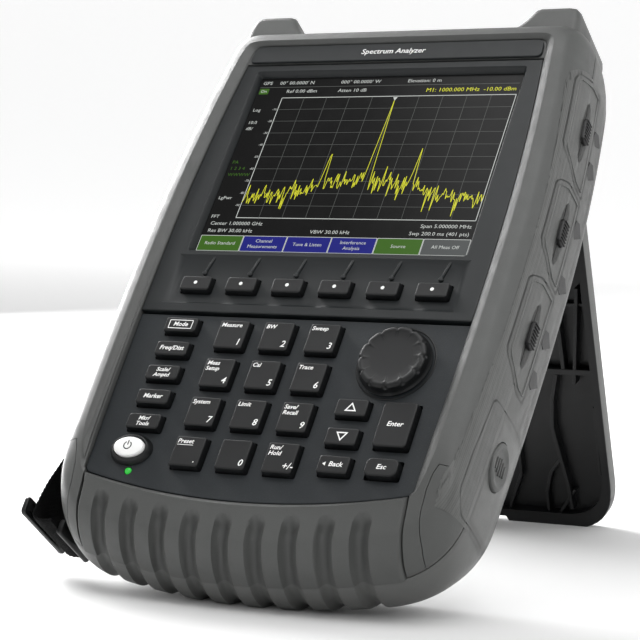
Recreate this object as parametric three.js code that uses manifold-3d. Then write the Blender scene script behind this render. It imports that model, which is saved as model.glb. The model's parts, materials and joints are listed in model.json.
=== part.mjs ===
// Handheld spectrum analyser standing on its rear stand.
// Everything is modelled in the instrument's own frame and then tilted back as one group:
// x runs to the right, y up the face, z out of the face, and 0, 0, 0 is the middle of the screen.
// The exported group has +Z up and its origin under the middle of the whole object.

import * as THREE from 'three';
import { mergeVertices } from 'three/addons/utils/BufferGeometryUtils.js';
import Module from 'manifold-3d';

const wasm = await Module();
wasm.setup();

// ---------------------------------------------------------------- driving dimensions, millimetres
const LEAN_BACK = 38.13;            // degrees from upright
const GAP = 0.3;                    // clearance between neighbouring pieces

const SCREEN = { width: 132.5, height: 99.4, border: 0.8, thickness: 2.4 };

// The case's outline at each depth, from the back to the front lip.
const CASE_LEVELS = [
  { z: -58, half: 85, top: 50, bottom: -178 },
  { z: -48, half: 93.5, top: 66, bottom: -191 },
  { z: -40, half: 96, top: 73.5, bottom: -199 },
  { z: -33, half: 97, top: 77.5, bottom: -204.5 },
  { z: -25, half: 97.5, top: 79.5, bottom: -206 },
  { z: -16, half: 97.5, top: 80, bottom: -204 },
  { z: -8, half: 97, top: 79.5, bottom: -200 },
  { z: -1, half: 95, top: 77.5, bottom: -192.5 },
  { z: 4, half: 90.5, top: 73.5, bottom: -181 },
  { z: 6, half: 85.5, top: 68.5, bottom: -177.5 },
];
const WAIST_Y = -45;                // the case is widest here
const BOW_ABOVE = 5.8;              // how far a side has drawn in 100 mm above the waist
const BOW_BELOW = 2.3;
const BASE_BOW = 9;                 // how far the bottom edge rises 75 mm from the middle
const PARTING_Z = -16;              // front and rear shells meet here
const CAVITY = { half: 83, top: 54, bottom: -172, back: -55, front: -3.5, corner: 14 };
const FAR = 130;                    // beyond the case in any direction from its middle

const FACE = { top: 55.4, bottom: -175, topHalf: 74.7, midHalf: 80, lowHalf: 77, back: -3, cornerRise: 9 };
const GROOVE = { y: -84.8, width: 1 };
const BEZEL_FRONT = 3.2;
const KEYPAD_FRONT = 1.6;
const LABEL = { half: 74, bottom: 55.9, top: 65.8, corner: 2.5, front: 6, depth: 1.6 };

const HORN = { inner: 57, outer: 84, tip: 89, root: 70, back: -38, front: 0, slope: 4 };
const BAY = { half: 50, floor: 58, back: -44, front: -13 };

const KEY = { top: 5, back: -2.6, clearance: 0.5 };
const SOFT_KEYS = { count: 6, firstX: -56.2, pitch: 22.9, y: -70.3, width: 15, height: 7.5, corner: 1 };
const FUNCTION_KEYS = {
  count: 5, x: -55.4, firstY: -92.4, pitch: -12.34, width: 16.4, height: 7.5, corner: 1.2,
};
const DIGIT_KEYS = { firstX: -28.7, pitchX: 22, firstY: -96.5, pitchY: -19.5, size: 14.4, corner: 0.9 };
const DIGIT_NAMES = [
  ['one', 'two', 'three'], ['four', 'five', 'six'], ['seven', 'eight', 'nine'], ['point', 'zero', 'sign'],
];
const EXTRA_KEYS = [
  { name: 'up_key', x: 39.6, y: -129.3, width: 14.6, height: 8.2, corner: 0.9 },
  { name: 'down_key', x: 39.4, y: -143.1, width: 14.6, height: 8.2, corner: 0.9 },
  { name: 'enter_key', x: 61.3, y: -136, width: 15.4, height: 21.4, corner: 1.6 },
  { name: 'back_key', x: 40, y: -156.3, width: 14.2, height: 8.4, corner: 0.9 },
  { name: 'escape_key', x: 61.3, y: -156, width: 14.8, height: 8.6, corner: 2.6 },
];
const POWER = { x: -57.6, y: -154.8, halfWidth: 7.4, halfHeight: 4.8, top: 6, collar: 1.8, collarTop: 4.6 };
const LED = { x: -55.8, y: -164.6, radius: 1.5, top: 2.1 };
const KNOB = { x: 51.3, y: -105.5, radius: 15.2, base: 16.2, bottom: 2.2, top: 7.6, boreEnd: 6.4, edge: 1 };
const SHAFT = { radius: 3, top: 5.9, clearance: 0.8 };
const ENCODER = { half: 7, back: -14, front: -6.9 };

// Right-hand side panel with its doors; front edge bows towards the face at both ends.
const PANEL = { inner: 86.6, top: 60, bottom: -169, back: -47.5, frontMiddle: 0.2, frontRise: 3 };
const DOOR = { thickness: 2.6, pocket: 3.4, hingeRoom: 1.2, inset: 0.4 };
const SIDE_DOORS = [
  { name: 'top_door', low: 2, high: 57.5, front: -2, back: -27.5, cutTop: 15, cutLow: 11 },
  { name: 'middle_door', low: -48, high: -1.5, front: -3.6, back: -27.5, cutTop: 9, cutLow: 11 },
  { name: 'lower_door', low: -103, high: -51.5, front: -3.6, back: -27.5, cutTop: 9, cutLow: 11 },
];
const BATTERY_DOOR = { low: -166.5, high: -115, front: -4, back: -44.5, thickness: 5, pocket: 5.8 };
const LATCH = { y: -135, z: -26, halfWidth: 8.6, halfHeight: 10.6, back: 91.8, front: 95.8 };
const BATTERY = { inner: -12, outer: 88.2, low: -163, high: -119, back: -43, front: -19 };

// The rear stand; outer and inner are its two faces, measured from the hinge line towards the case.
const STAND = {
  hingeY: 66, hingeZ: -61.5, open: 56.2, half: 66, outer: -5, inner: 2.6, web: 2.4, wall: 4, corner: 24,
  notch: 9, notchDepth: 4, top: 2, pocketTop: 9, pocketCorner: 5,
};
const STAND_RIBS = { bar: 119, rib: 40, width: 2.4 };
const STAND_BARREL = 4.6;
const PIN = { radius: 2, clearance: 0.4, half: 74.5 };
const LUG = { inner: 66.6, outer: 75, reach: 5.6, low: 11, root: -40, shoulder: -50 };
const FLOOR_CUT = 0.5;              // the lowest edge is planed flat by this much, to sit on

const PORT = {
  x: 28, z: -28.5, radius: 8, flange: 10.5, root: 50.4, top: 78.5, mouth: 6.4, lip: 3, clearance: 0.6,
};
const GRIP = { half: 76, skirtTop: 2.3, low: -190 };
const STRAP = { back: -44, front: -11, thickness: 1.6 };
const SIDE_RECESS = { face: -90, low: -190, high: 47 };
const UPPER_ANCHOR = { outer: -97.4, inner: -92.6, low: 50.8, high: 60 };
const LOWER_ANCHOR = { outer: -93.2, inner: SIDE_RECESS.face - GAP / 3, low: -187.5, high: -180.5 };
const BUCKLE = {
  x: -106.8, y: -179, turn: 3, thickness: 2.2, half: 6.5, overhang: 3, slotAt: 2.9, slotHalf: 1.4,
};
const LCD = { half: 72, low: -56.5, high: 52.5, back: -8.6 };
const KEYPAD_BOARD = { half: 73, low: -164, high: -62, back: -6.6, front: -5 };
const MAIN_BOARD = { half: 76, low: -110, high: 46, back: -21, front: -19.2 };
const RF_MODULE = { half: 58, low: 6, high: 50, back: -44, front: -22 };

// ---------------------------------------------------------------- outlines
const V = (x, y) => new THREE.Vector2(x, y);
const radians = THREE.MathUtils.degToRad;
const mirrored = (right) => [
  ...right, ...right.filter((p) => p.x > 1e-6).reverse().map((p) => V(-p.x, p.y)),
];
const steps = (from, to, count) => Array.from(
  { length: count + 1 }, (_, i) => from + ((to - from) * i) / count);
const curve = (a, b, c, count) => new THREE.QuadraticBezierCurve(a, b, c).getPoints(count);

// How far a side has drawn in from its widest, at height y.
const sideBow = (y) => (y > WAIST_Y ? BOW_ABOVE : BOW_BELOW) * ((y - WAIST_Y) / 100) ** 2;

function caseOutline({ half, top, bottom }) {
  const sideX = (y) => half - sideBow(y);
  const baseY = (x) => bottom + BASE_BOW * (x / 75) ** 2;
  const lowCorner = 26;
  const highCorner = 10;
  const cornerY = baseY(half - 4);
  const cornerX = sideX(cornerY);
  const baseEnd = cornerX - lowCorner;
  const right = [
    ...steps(0, baseEnd, 4).slice(0, -1).map((x) => V(x, baseY(x))),
    ...curve(V(baseEnd, baseY(baseEnd)), V(cornerX, cornerY),
      V(sideX(cornerY + lowCorner), cornerY + lowCorner), 6),
    ...steps(cornerY + lowCorner, top - highCorner, 8).slice(1, -1).map((y) => V(sideX(y), y)),
    ...curve(V(sideX(top - highCorner), top - highCorner), V(sideX(top), top),
      V(sideX(top) - highCorner, top), 4),
  ];
  return mirrored(right);
}

function faceOutline(grow, low, high) {
  const halfAt = (y) => {
    const end = y > WAIST_Y ? FACE.topHalf : FACE.lowHalf;
    const towards = (y - WAIST_Y) / ((y > WAIST_Y ? FACE.top : FACE.bottom + FACE.cornerRise) - WAIST_Y);
    return grow + FACE.midHalf - (FACE.midHalf - end) * towards ** 2;
  };
  const right = [];
  if (low === undefined) {
    const corner = FACE.bottom + FACE.cornerRise;
    const lowY = (x) => FACE.bottom - grow + FACE.cornerRise * (x / FACE.lowHalf) ** 2;
    right.push(...steps(0, halfAt(corner) - 2, 5).map((x) => V(x, lowY(x))));
    right.push(...steps(corner + 1.5, high, 6).map((y) => V(halfAt(y), y)));
  } else {
    right.push(V(0, low), ...steps(low, high, 5).map((y) => V(halfAt(y), y)));
  }
  right.push(V(0, high));
  return mirrored(right);
}

function roundedBox(width, height, corner, x = 0, y = 0, arc = 2) {
  const points = [];
  [[1, -1], [1, 1], [-1, 1], [-1, -1]].forEach(([sx, sy], quarter) => {
    steps(-90 + quarter * 90, quarter * 90, arc).forEach((degrees) => {
      const a = radians(degrees);
      points.push(V(x + sx * (width / 2 - corner) + corner * Math.cos(a),
        y + sy * (height / 2 - corner) + corner * Math.sin(a)));
    });
  });
  return points;
}

const ellipse = (x, y, halfWidth, halfHeight, sides) => Array.from({ length: sides }, (_, i) => {
  const a = ((i + 0.5) / sides) * 2 * Math.PI;
  return V(x + halfWidth * Math.cos(a), y + halfHeight * Math.sin(a));
});
const rectangle = (x0, x1, y0, y1) => [V(x0, y0), V(x1, y0), V(x1, y1), V(x0, y1)];

// ---------------------------------------------------------------- solids
function solid(geometry) {
  const bare = geometry.index ? geometry.clone() : geometry;
  bare.deleteAttribute('normal');
  bare.deleteAttribute('uv');
  const merged = mergeVertices(bare, 1e-4);
  return new wasm.Manifold(new wasm.Mesh({
    numProp: 3,
    vertProperties: new Float32Array(merged.attributes.position.array),
    triVerts: new Uint32Array(merged.index.array),
  }));
}

function prism(points, low, high, basis) {
  const geometry = new THREE.ExtrudeGeometry(
    new THREE.Shape(points), { depth: high - low, bevelEnabled: false });
  geometry.translate(0, 0, low);
  if (basis) geometry.applyMatrix4(basis);
  return solid(geometry);
}

// Prisms drawn in the y-z plane and running along x, or drawn in the z-x plane and running along y.
const ALONG_X = new THREE.Matrix4().makeBasis(
  new THREE.Vector3(0, 1, 0), new THREE.Vector3(0, 0, 1), new THREE.Vector3(1, 0, 0));
const ALONG_Y = new THREE.Matrix4().makeBasis(
  new THREE.Vector3(0, 0, 1), new THREE.Vector3(1, 0, 0), new THREE.Vector3(0, 1, 0));
const prismX = (points, low, high) => prism(points, low, high, ALONG_X);
const prismY = (points, low, high) => prism(points, low, high, ALONG_Y);
const block = (x0, x1, y0, y1, z0, z1) => prism(rectangle(x0, x1, y0, y1), z0, z1);

// Skins a stack of rings that run from back to front, each ring anticlockwise seen from the front.
function loft(rings) {
  const count = rings[0].points.length;
  const positions = rings.flatMap(({ points, z }) => points.flatMap((p) => [p.x, p.y, z]));
  const index = [];
  for (let k = 0; k + 1 < rings.length; k += 1) {
    for (let i = 0; i < count; i += 1) {
      const a = k * count + i;
      const b = k * count + ((i + 1) % count);
      index.push(a, b, b + count, a, b + count, a + count);
    }
  }
  const cap = (ring) => THREE.ShapeUtils.triangulateShape(rings[ring].points, []);
  cap(0).forEach(([a, b, c]) => index.push(a, c, b));
  const last = rings.length - 1;
  cap(last).forEach((triangle) => index.push(...triangle.map((i) => i + last * count)));
  const geometry = new THREE.BufferGeometry();
  geometry.setAttribute('position', new THREE.Float32BufferAttribute(positions, 3));
  geometry.setIndex(index);
  return solid(geometry);
}

function lathe(profile, segments, x, y) {
  const geometry = new THREE.LatheGeometry(profile.map(([r, z]) => V(r, z)), segments);
  geometry.rotateX(Math.PI / 2);
  geometry.translate(x, y, 0);
  return solid(geometry);
}

const union = (parts) => parts.reduce((whole, part) => whole.add(part));

// ---------------------------------------------------------------- nodes
const device = new THREE.Group();
device.rotation.x = radians(90 - LEAN_BACK);

function turned(manifold, matrix) {
  return manifold.transform([...matrix.elements]);
}

// Height above the screen's centre, once tilted, of a point on the instrument's middle plane.
const heightOf = (y, z) => y * Math.cos(radians(LEAN_BACK)) + z * Math.sin(radians(LEAN_BACK));
const floorHeight = Math.min(...CASE_LEVELS.map((level) => heightOf(level.bottom, level.z))) + FLOOR_CUT;
const floor = turned(
  block(-200, 200, -400, 400, floorHeight - 100, floorHeight),
  new THREE.Matrix4().makeRotationX(-radians(90 - LEAN_BACK)));

const LOOKS = {
  rubber: { color: 0x62635f, roughness: 0.75, metalness: 0 },
  shell: { color: 0x6c6e6b, roughness: 0.6, metalness: 0 },
  face: { color: 0x3b4245, roughness: 0.6, metalness: 0 },
  bezel: { color: 0x2c3234, roughness: 0.45, metalness: 0 },
  key: { color: 0x242628, roughness: 0.5, metalness: 0 },
  white: { color: 0xe8e8e6, roughness: 0.35, metalness: 0 },
  led: { color: 0x2fbf3a, roughness: 0.3, metalness: 0 },
  glass: { color: 0x0b0d0d, roughness: 0.08, metalness: 0 },
  panel: { color: 0x2b2e30, roughness: 0.5, metalness: 0.1 },
  board: { color: 0x1f5a34, roughness: 0.5, metalness: 0 },
  shield: { color: 0xb6b8b8, roughness: 0.35, metalness: 1 },
  steel: { color: 0xb9bab8, roughness: 0.3, metalness: 1 },
  gold: { color: 0xc9a75a, roughness: 0.3, metalness: 1 },
  black: { color: 0x17191a, roughness: 0.35, metalness: 0 },
  webbing: { color: 0x141516, roughness: 0.9, metalness: 0 },
};

function node(name, manifold, look, parent = device) {
  const { vertProperties, triVerts } = manifold.getMesh();
  const geometry = new THREE.BufferGeometry();
  geometry.setAttribute('position', new THREE.BufferAttribute(new Float32Array(vertProperties), 3));
  geometry.setIndex(new THREE.BufferAttribute(new Uint32Array(triVerts), 1));
  geometry.computeVertexNormals();
  const mesh = new THREE.Mesh(geometry, new THREE.MeshStandardMaterial(LOOKS[look]));
  mesh.name = name;
  parent.add(mesh);
  return mesh;
}

// ---------------------------------------------------------------- case shells
const caseSolid = loft(CASE_LEVELS.map((level) => ({ points: caseOutline(level), z: level.z })));

function horns() {
  const outline = [
    V(HORN.inner, HORN.root), V(HORN.outer, HORN.root), V(HORN.outer, HORN.tip - 6),
    V(HORN.outer - 4, HORN.tip), V(HORN.inner + HORN.slope, HORN.tip),
  ];
  const right = prism(outline, HORN.back, HORN.front);
  return [right, right.mirror([1, 0, 0])];
}

const inFront = block(-FAR, FAR, -2 * FAR, FAR, PARTING_Z, FAR);
const behind = block(-FAR, FAR, -2 * FAR, FAR, -FAR, PARTING_Z - GAP);
const body = union([caseSolid, ...horns()]);

const cavityOutline = roundedBox(
  CAVITY.half * 2, CAVITY.top - CAVITY.bottom, CAVITY.corner, 0, (CAVITY.top + CAVITY.bottom) / 2);
const cavity = (back, front) => prism(cavityOutline, back, front);

const bay = block(-BAY.half, BAY.half, BAY.floor, FAR, BAY.back, BAY.front);

// The front edge of the side panel, from top to bottom, in y and z.
function panelFront(y) {
  const middle = (PANEL.top + PANEL.bottom) / 2;
  const reach = (PANEL.top - PANEL.bottom) / 2;
  return PANEL.frontMiddle + PANEL.frontRise * ((y - middle) / reach) ** 2;
}

function panelOutline(grow) {
  const front = steps(PANEL.bottom - grow, PANEL.top - 18, 8).map((y) => V(y, panelFront(y) + grow));
  return [
    ...front,
    ...curve(V(PANEL.top - 10, panelFront(PANEL.top) + grow - 2), V(PANEL.top + grow, -6),
      V(PANEL.top + grow, -26), 3),
    V(PANEL.top - 4 + grow, PANEL.back - grow),
    V(PANEL.bottom - grow, PANEL.back - grow),
  ];
}
const panelRoom = prismX(panelOutline(GAP), PANEL.inner - GAP, FAR);

// The bottom grip and the two corner pads take over the front shell's bottom edge.
function bottomRegion(grow) {
  const edge = GRIP.half + grow;
  const upperY = (x) => FACE.bottom - 2 * GAP + 4 * grow + FACE.cornerRise * (x / FACE.lowHalf) ** 2;
  const upper = steps(GRIP.half, -GRIP.half, 8).map((x) => V(x, upperY(x)));
  const skirt = prism([V(-edge, -2 * FAR), V(edge, -2 * FAR), ...upper], PARTING_Z - grow, FAR);
  return skirt.add(block(-edge, edge, GRIP.low, CAVITY.bottom - GAP + grow,
    PARTING_Z - grow, FACE.back - GRIP.skirtTop + 2 * grow));
}
const padRegion = (side, grow) => {
  const outline = [
    V(83.5 - grow, -2 * FAR), V(FAR, -2 * FAR), V(FAR, -150 + grow), V(85.5 - grow, -152.5 + grow),
    V(83 - grow, -160), V(82 - grow, -172), V(83.2 - grow, -184),
  ];
  const right = prism(outline, PARTING_Z - grow, FAR);
  return side > 0 ? right : right.mirror([1, 0, 0]);
};

const labelOutline = (grow) => roundedBox(2 * (LABEL.half + grow), LABEL.top - LABEL.bottom + 2 * grow,
  LABEL.corner, 0, (LABEL.top + LABEL.bottom) / 2);
const labelPocket = prism(labelOutline(GAP), LABEL.front - LABEL.depth - GAP, FAR);

const frontHousing = body.intersect(inFront)
  .subtract(cavity(-FAR, CAVITY.front))
  .subtract(prism(faceOutline(GAP, undefined, FACE.top + GAP), FACE.back - 2, FAR))
  .subtract(bay)
  .subtract(panelRoom)
  .subtract(labelPocket)
  .subtract(bottomRegion(GAP))
  .subtract(padRegion(1, GAP))
  .subtract(padRegion(-1, GAP));
node('front_housing', frontHousing, 'rubber');

const grip = body.intersect(inFront).intersect(bottomRegion(0)).subtract(cavity(-FAR, FAR));
node('bottom_grip', grip, 'rubber');
[['right', 1], ['left', -1]].forEach(([name, side]) => {
  const pad = body.intersect(inFront).intersect(padRegion(side, 0))
    .subtract(cavity(-FAR, FAR)).subtract(panelRoom);
  node(`${name}_corner_pad`, pad, 'rubber');
});

function lug(side) {
  const { hingeY: y, hingeZ: z } = STAND;
  const { reach, low, root, shoulder } = LUG;
  const outline = [
    V(y - low, shoulder), V(y - reach, z - 2), V(y - 3, z - reach), V(y + 3, z - reach), V(y + reach, z - 2),
    V(y + reach, root), V(y - low, root),
  ];
  const right = prismX(outline, LUG.inner, LUG.outer);
  return side > 0 ? right : right.mirror([1, 0, 0]);
}
const pinHole = PIN.radius + PIN.clearance;
const pinBore = prismX(ellipse(STAND.hingeY, STAND.hingeZ, pinHole, pinHole, 12), -FAR, FAR);
const sideRecess = block(-FAR, SIDE_RECESS.face, SIDE_RECESS.low, SIDE_RECESS.high, -FAR, PARTING_Z + 1);
const batteryGap = 2 * GAP;
const batteryRoom = block(BATTERY.inner - batteryGap, FAR,
  BATTERY.low - batteryGap, BATTERY.high + batteryGap, BATTERY.back - batteryGap, BATTERY.front + batteryGap);
const portRoom = PORT.radius + PORT.clearance;
const portHole = (x) => prismY(ellipse(PORT.z, x, portRoom, portRoom, 16), PORT.root - 10, PORT.root + 20);

const rearHousing = body.add(lug(1)).add(lug(-1)).intersect(behind)
  .subtract(cavity(CAVITY.back, FAR))
  .subtract(bay)
  .subtract(portHole(PORT.x))
  .subtract(portHole(-PORT.x))
  .subtract(panelRoom)
  .subtract(sideRecess)
  .subtract(batteryRoom)
  .subtract(pinBore)
  .subtract(floor);
node('rear_housing', rearHousing, 'shell');

// ---------------------------------------------------------------- face
const keyHole = (x, y, width, height, corner) => prism(
  roundedBox(width + 2 * KEY.clearance, height + 2 * KEY.clearance, corner * 0.6, x, y, 1), -10, 20);

const softKeys = Array.from({ length: SOFT_KEYS.count }, (_, i) => ({
  name: `soft_key_${i + 1}`, x: SOFT_KEYS.firstX + i * SOFT_KEYS.pitch, ...SOFT_KEYS,
}));
const functionKeys = Array.from({ length: FUNCTION_KEYS.count }, (_, i) => ({
  ...FUNCTION_KEYS, name: `function_key_${i + 1}`, y: FUNCTION_KEYS.firstY + i * FUNCTION_KEYS.pitch,
}));
const digitKeys = DIGIT_NAMES.flatMap((row, r) => row.map((word, c) => ({
  name: `key_${word}`,
  x: DIGIT_KEYS.firstX + c * DIGIT_KEYS.pitchX,
  y: DIGIT_KEYS.firstY + r * DIGIT_KEYS.pitchY,
  width: DIGIT_KEYS.size,
  height: DIGIT_KEYS.size,
  corner: DIGIT_KEYS.corner,
})));
const keypadKeys = [...functionKeys, ...digitKeys, ...EXTRA_KEYS];

const windowSize = { width: SCREEN.width + 2 * SCREEN.border, height: SCREEN.height + 2 * SCREEN.border };
const screenHole = prism(
  rectangle(-windowSize.width / 2 - GAP, windowSize.width / 2 + GAP,
    -windowSize.height / 2 - GAP, windowSize.height / 2 + GAP), -10, 20);
const bezelPlate = prism(faceOutline(0, GROOVE.y + GROOVE.width / 2, FACE.top), FACE.back, BEZEL_FRONT);
const bezel = softKeys.reduce(
  (plate, key) => plate.subtract(keyHole(key.x, key.y, key.width, key.height, key.corner)),
  bezelPlate.subtract(screenHole));
node('bezel', bezel, 'bezel');

const facePlate = prism(faceOutline(0, undefined, FACE.top), FACE.back, KEYPAD_FRONT)
  .subtract(block(-120, 120, GROOVE.y - GROOVE.width / 2, 120, -20, 20));
const powerOutline = (grow) => ellipse(POWER.x, POWER.y, POWER.halfWidth + grow, POWER.halfHeight + grow, 20);
const collar = prism(powerOutline(POWER.collar), 0, POWER.collarTop);
const powerHole = prism(powerOutline(GAP), -10, 20);
const ledHole = prism(ellipse(LED.x, LED.y, LED.radius + GAP, LED.radius + GAP, 8), -10, 20);
const shaftRoom = SHAFT.radius + SHAFT.clearance;
const shaftHole = prism(ellipse(KNOB.x, KNOB.y, shaftRoom, shaftRoom, 12), -10, 20);
const keypadPlate = keypadKeys.reduce(
  (plate, key) => plate.subtract(keyHole(key.x, key.y, key.width, key.height, key.corner)),
  facePlate.add(collar).subtract(powerHole).subtract(ledHole).subtract(shaftHole));
node('keypad_plate', keypadPlate, 'face');

node('label_plate', prism(labelOutline(0), LABEL.front - LABEL.depth, LABEL.front), 'bezel');

node('screen_window', block(-windowSize.width / 2, windowSize.width / 2,
  -windowSize.height / 2, windowSize.height / 2, -SCREEN.thickness, 0), 'glass');

[...softKeys, ...keypadKeys].forEach((key) => {
  const outline = roundedBox(key.width, key.height, key.corner, key.x, key.y);
  node(key.name, prism(outline, KEY.back, KEY.top), 'key');
});
node('power_key', prism(powerOutline(0), KEY.back, POWER.top), 'white');
node('status_led', prism(ellipse(LED.x, LED.y, LED.radius, LED.radius, 8), KEY.back, LED.top), 'led');

const { radius: rim, base, bottom: knobBottom, top: knobTop, edge, boreEnd } = KNOB;
node('knob', lathe([
  [0, boreEnd], [SHAFT.radius + GAP, boreEnd], [SHAFT.radius + GAP, knobBottom], [base, knobBottom],
  [base - 0.6, knobBottom + 2], [rim, knobTop - edge], [rim - edge, knobTop], [0, knobTop],
], 36, KNOB.x, KNOB.y), 'key');

// ---------------------------------------------------------------- inside
const board = ({ half, low, high, back, front }) => block(-half, half, low, high, back, front);
node('lcd_panel', board({ ...LCD, front: FACE.back - GAP }), 'panel');
node('keypad_board', board(KEYPAD_BOARD).subtract(shaftHole), 'board');
const shaft = prism(ellipse(KNOB.x, KNOB.y, SHAFT.radius, SHAFT.radius, 16), ENCODER.front - 1, SHAFT.top);
node('encoder', block(KNOB.x - ENCODER.half, KNOB.x + ENCODER.half,
  KNOB.y - ENCODER.half, KNOB.y + ENCODER.half, ENCODER.back, ENCODER.front).add(shaft), 'steel');
node('main_board', board(MAIN_BOARD), 'board');
node('rf_module', board(RF_MODULE), 'shield');
node('battery_pack', block(
  BATTERY.inner, BATTERY.outer, BATTERY.low, BATTERY.high, BATTERY.back, BATTERY.front), 'black');

// ---------------------------------------------------------------- right side: panel, doors, battery door
const sideXAt = (y) => Math.max(...CASE_LEVELS.map(({ half }) => half)) - sideBow(y);

// A door's own frame: origin on the hinge line at its lower end, y along the hinge, x outwards.
function doorFrame(door) {
  const lowX = sideXAt(door.low) - DOOR.inset;
  const highX = sideXAt(door.high) - DOOR.inset;
  const length = Math.hypot(highX - lowX, door.high - door.low);
  const turn = Math.atan2(lowX - highX, door.high - door.low);
  const matrix = new THREE.Matrix4().makeRotationZ(turn).setPosition(lowX, door.low, door.back);
  return { matrix, length, depth: door.front - door.back, turn };
}

function sideDoorOutline({ length, depth }, door, grow) {
  return [
    V(-grow, -grow), V(length + grow, -grow), V(length + grow, depth - door.cutTop),
    V(length - door.cutTop * 0.35, depth - 2 + grow), V(length - door.cutTop * 0.6, depth + grow),
    V(door.cutLow, depth + grow), V(door.cutLow - 3, depth - 2 + grow), V(-grow, depth - door.cutLow * 1.4),
  ];
}

function placedDoor(door, outlineOf) {
  const frame = doorFrame(door);
  const { thickness = DOOR.thickness, pocket: depth = DOOR.pocket } = door;
  const leaf = prismX(outlineOf(frame, door, 0), -thickness, 0);
  const room = GAP + 0.2;
  const pocket = prismX(outlineOf(frame, door, room), -depth, 30)
    .add(prismX(rectangle(-room, frame.length + room, -DOOR.hingeRoom, 1), -depth, 30));
  return { frame, leaf: turned(leaf, frame.matrix).intersect(body), pocket: turned(pocket, frame.matrix) };
}

const thumbTab = ({ matrix, length }, back, front) => turned(
  prismX(rectangle(length / 2 - 7.5, length / 2 + 7.5, back, front), -1, 1.4), matrix);

const batteryOutline = ({ length, depth }, door, grow) => [
  V(3 - grow, -grow), V(length + grow, -grow), V(length + grow, depth - 2 + grow),
  V(length / 2, depth + grow), V(8, depth + grow), V(-grow, depth - 6), V(-grow, 4 - grow),
];

let sidePanel = body.intersect(prismX(panelOutline(0), PANEL.inner, FAR));
SIDE_DOORS.forEach((door) => {
  const { frame, leaf, pocket } = placedDoor(door, sideDoorOutline);
  sidePanel = sidePanel.subtract(pocket);
  node(door.name, leaf.add(thumbTab(frame, 8, 15)), 'shell');
});
const batteryDoor = placedDoor(BATTERY_DOOR, batteryOutline);
const latchOutline = (grow) => ellipse(LATCH.y, LATCH.z, LATCH.halfHeight + grow, LATCH.halfWidth + grow, 16);
sidePanel = sidePanel.subtract(batteryDoor.pocket).subtract(batteryRoom);
node('side_panel', sidePanel, 'shell');
node('battery_door', batteryDoor.leaf.subtract(prismX(latchOutline(GAP), 0, FAR)), 'shell');
node('battery_latch', prismX(latchOutline(0), LATCH.back, LATCH.front), 'rubber');

// ---------------------------------------------------------------- top: connectors
function port() {
  const seat = BAY.floor + GAP;
  const { radius, flange, root, top, mouth, lip } = PORT;
  return new THREE.LatheGeometry([
    V(0, root), V(radius, root), V(radius, seat), V(flange, seat), V(flange, seat + lip),
    V(radius, seat + lip), V(radius, top), V(mouth, top), V(mouth, top - lip), V(0, top - lip),
  ], 20);
}
[['left', -1], ['right', 1]].forEach(([name, side]) => {
  const geometry = port();
  geometry.translate(side * PORT.x, 0, PORT.z);
  node(`${name}_rf_port`, solid(geometry), 'steel');
});

// ---------------------------------------------------------------- hand strap on the left side
// The webbing runs from the upper anchor down the side, out round the buckle and back to the lower anchor.
const strapLine = new THREE.CatmullRomCurve3([
  [-95.4, 50], [-98.4, 40], [-99.6, 20], [-99.8, -30], [-99.4, -90], [-98.2, -130], [-98, -147],
  [-100.2, -157], [-102.6, -166], [-103.8, -176], [-103.4, -182.6], [-99.4, -184.4], [-93.8, -184],
].map(([x, y]) => new THREE.Vector3(x, y, 0)), false, 'centripetal');

function strapOutline() {
  const left = [];
  const right = [];
  steps(0, 1, 28).forEach((t) => {
    const at = strapLine.getPointAt(t);
    const along = strapLine.getTangentAt(t);
    const half = STRAP.thickness / 2;
    left.push(V(at.x - along.y * half, at.y + along.x * half));
    right.push(V(at.x + along.y * half, at.y - along.x * half));
  });
  return [...left, ...right.reverse()];
}
node('hand_strap', prism(strapOutline(), STRAP.back, STRAP.front), 'webbing');

const anchor = ({ outer, inner, low, high }, back, front) => block(outer, inner, low, high, back, front);
node('upper_strap_anchor', anchor(UPPER_ANCHOR, STRAP.back - 1, STRAP.front - 2), 'black');
node('lower_strap_anchor', anchor(LOWER_ANCHOR, STRAP.back + 1, PARTING_Z - 2 * GAP), 'black');

// The buckle is a flat two-bar slide hung on the outside of the webbing's lower loop.
const buckleOutline = rectangle(-BUCKLE.thickness, 0, -BUCKLE.half, BUCKLE.half);
const buckleMatrix = new THREE.Matrix4()
  .makeRotationZ(radians(BUCKLE.turn)).setPosition(BUCKLE.x, BUCKLE.y, 0);
const buckleSlot = (y) => block(
  -BUCKLE.half, BUCKLE.half, y - BUCKLE.slotHalf, y + BUCKLE.slotHalf, STRAP.back + 1, STRAP.front - 1);
const buckle = prism(buckleOutline, STRAP.back - BUCKLE.overhang, STRAP.front + BUCKLE.overhang)
  .subtract(buckleSlot(BUCKLE.slotAt)).subtract(buckleSlot(-BUCKLE.slotAt));
node('strap_buckle', turned(buckle, buckleMatrix), 'black');

// ---------------------------------------------------------------- stand
// Drawn folded flat, in its own frame: origin on the hinge line, y towards the foot and z towards the case.
const standLean = radians(STAND.open - LEAN_BACK);
const standLength = (heightOf(STAND.hingeY, STAND.hingeZ) - floorHeight) / Math.cos(standLean) + FLOOR_CUT;

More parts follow.
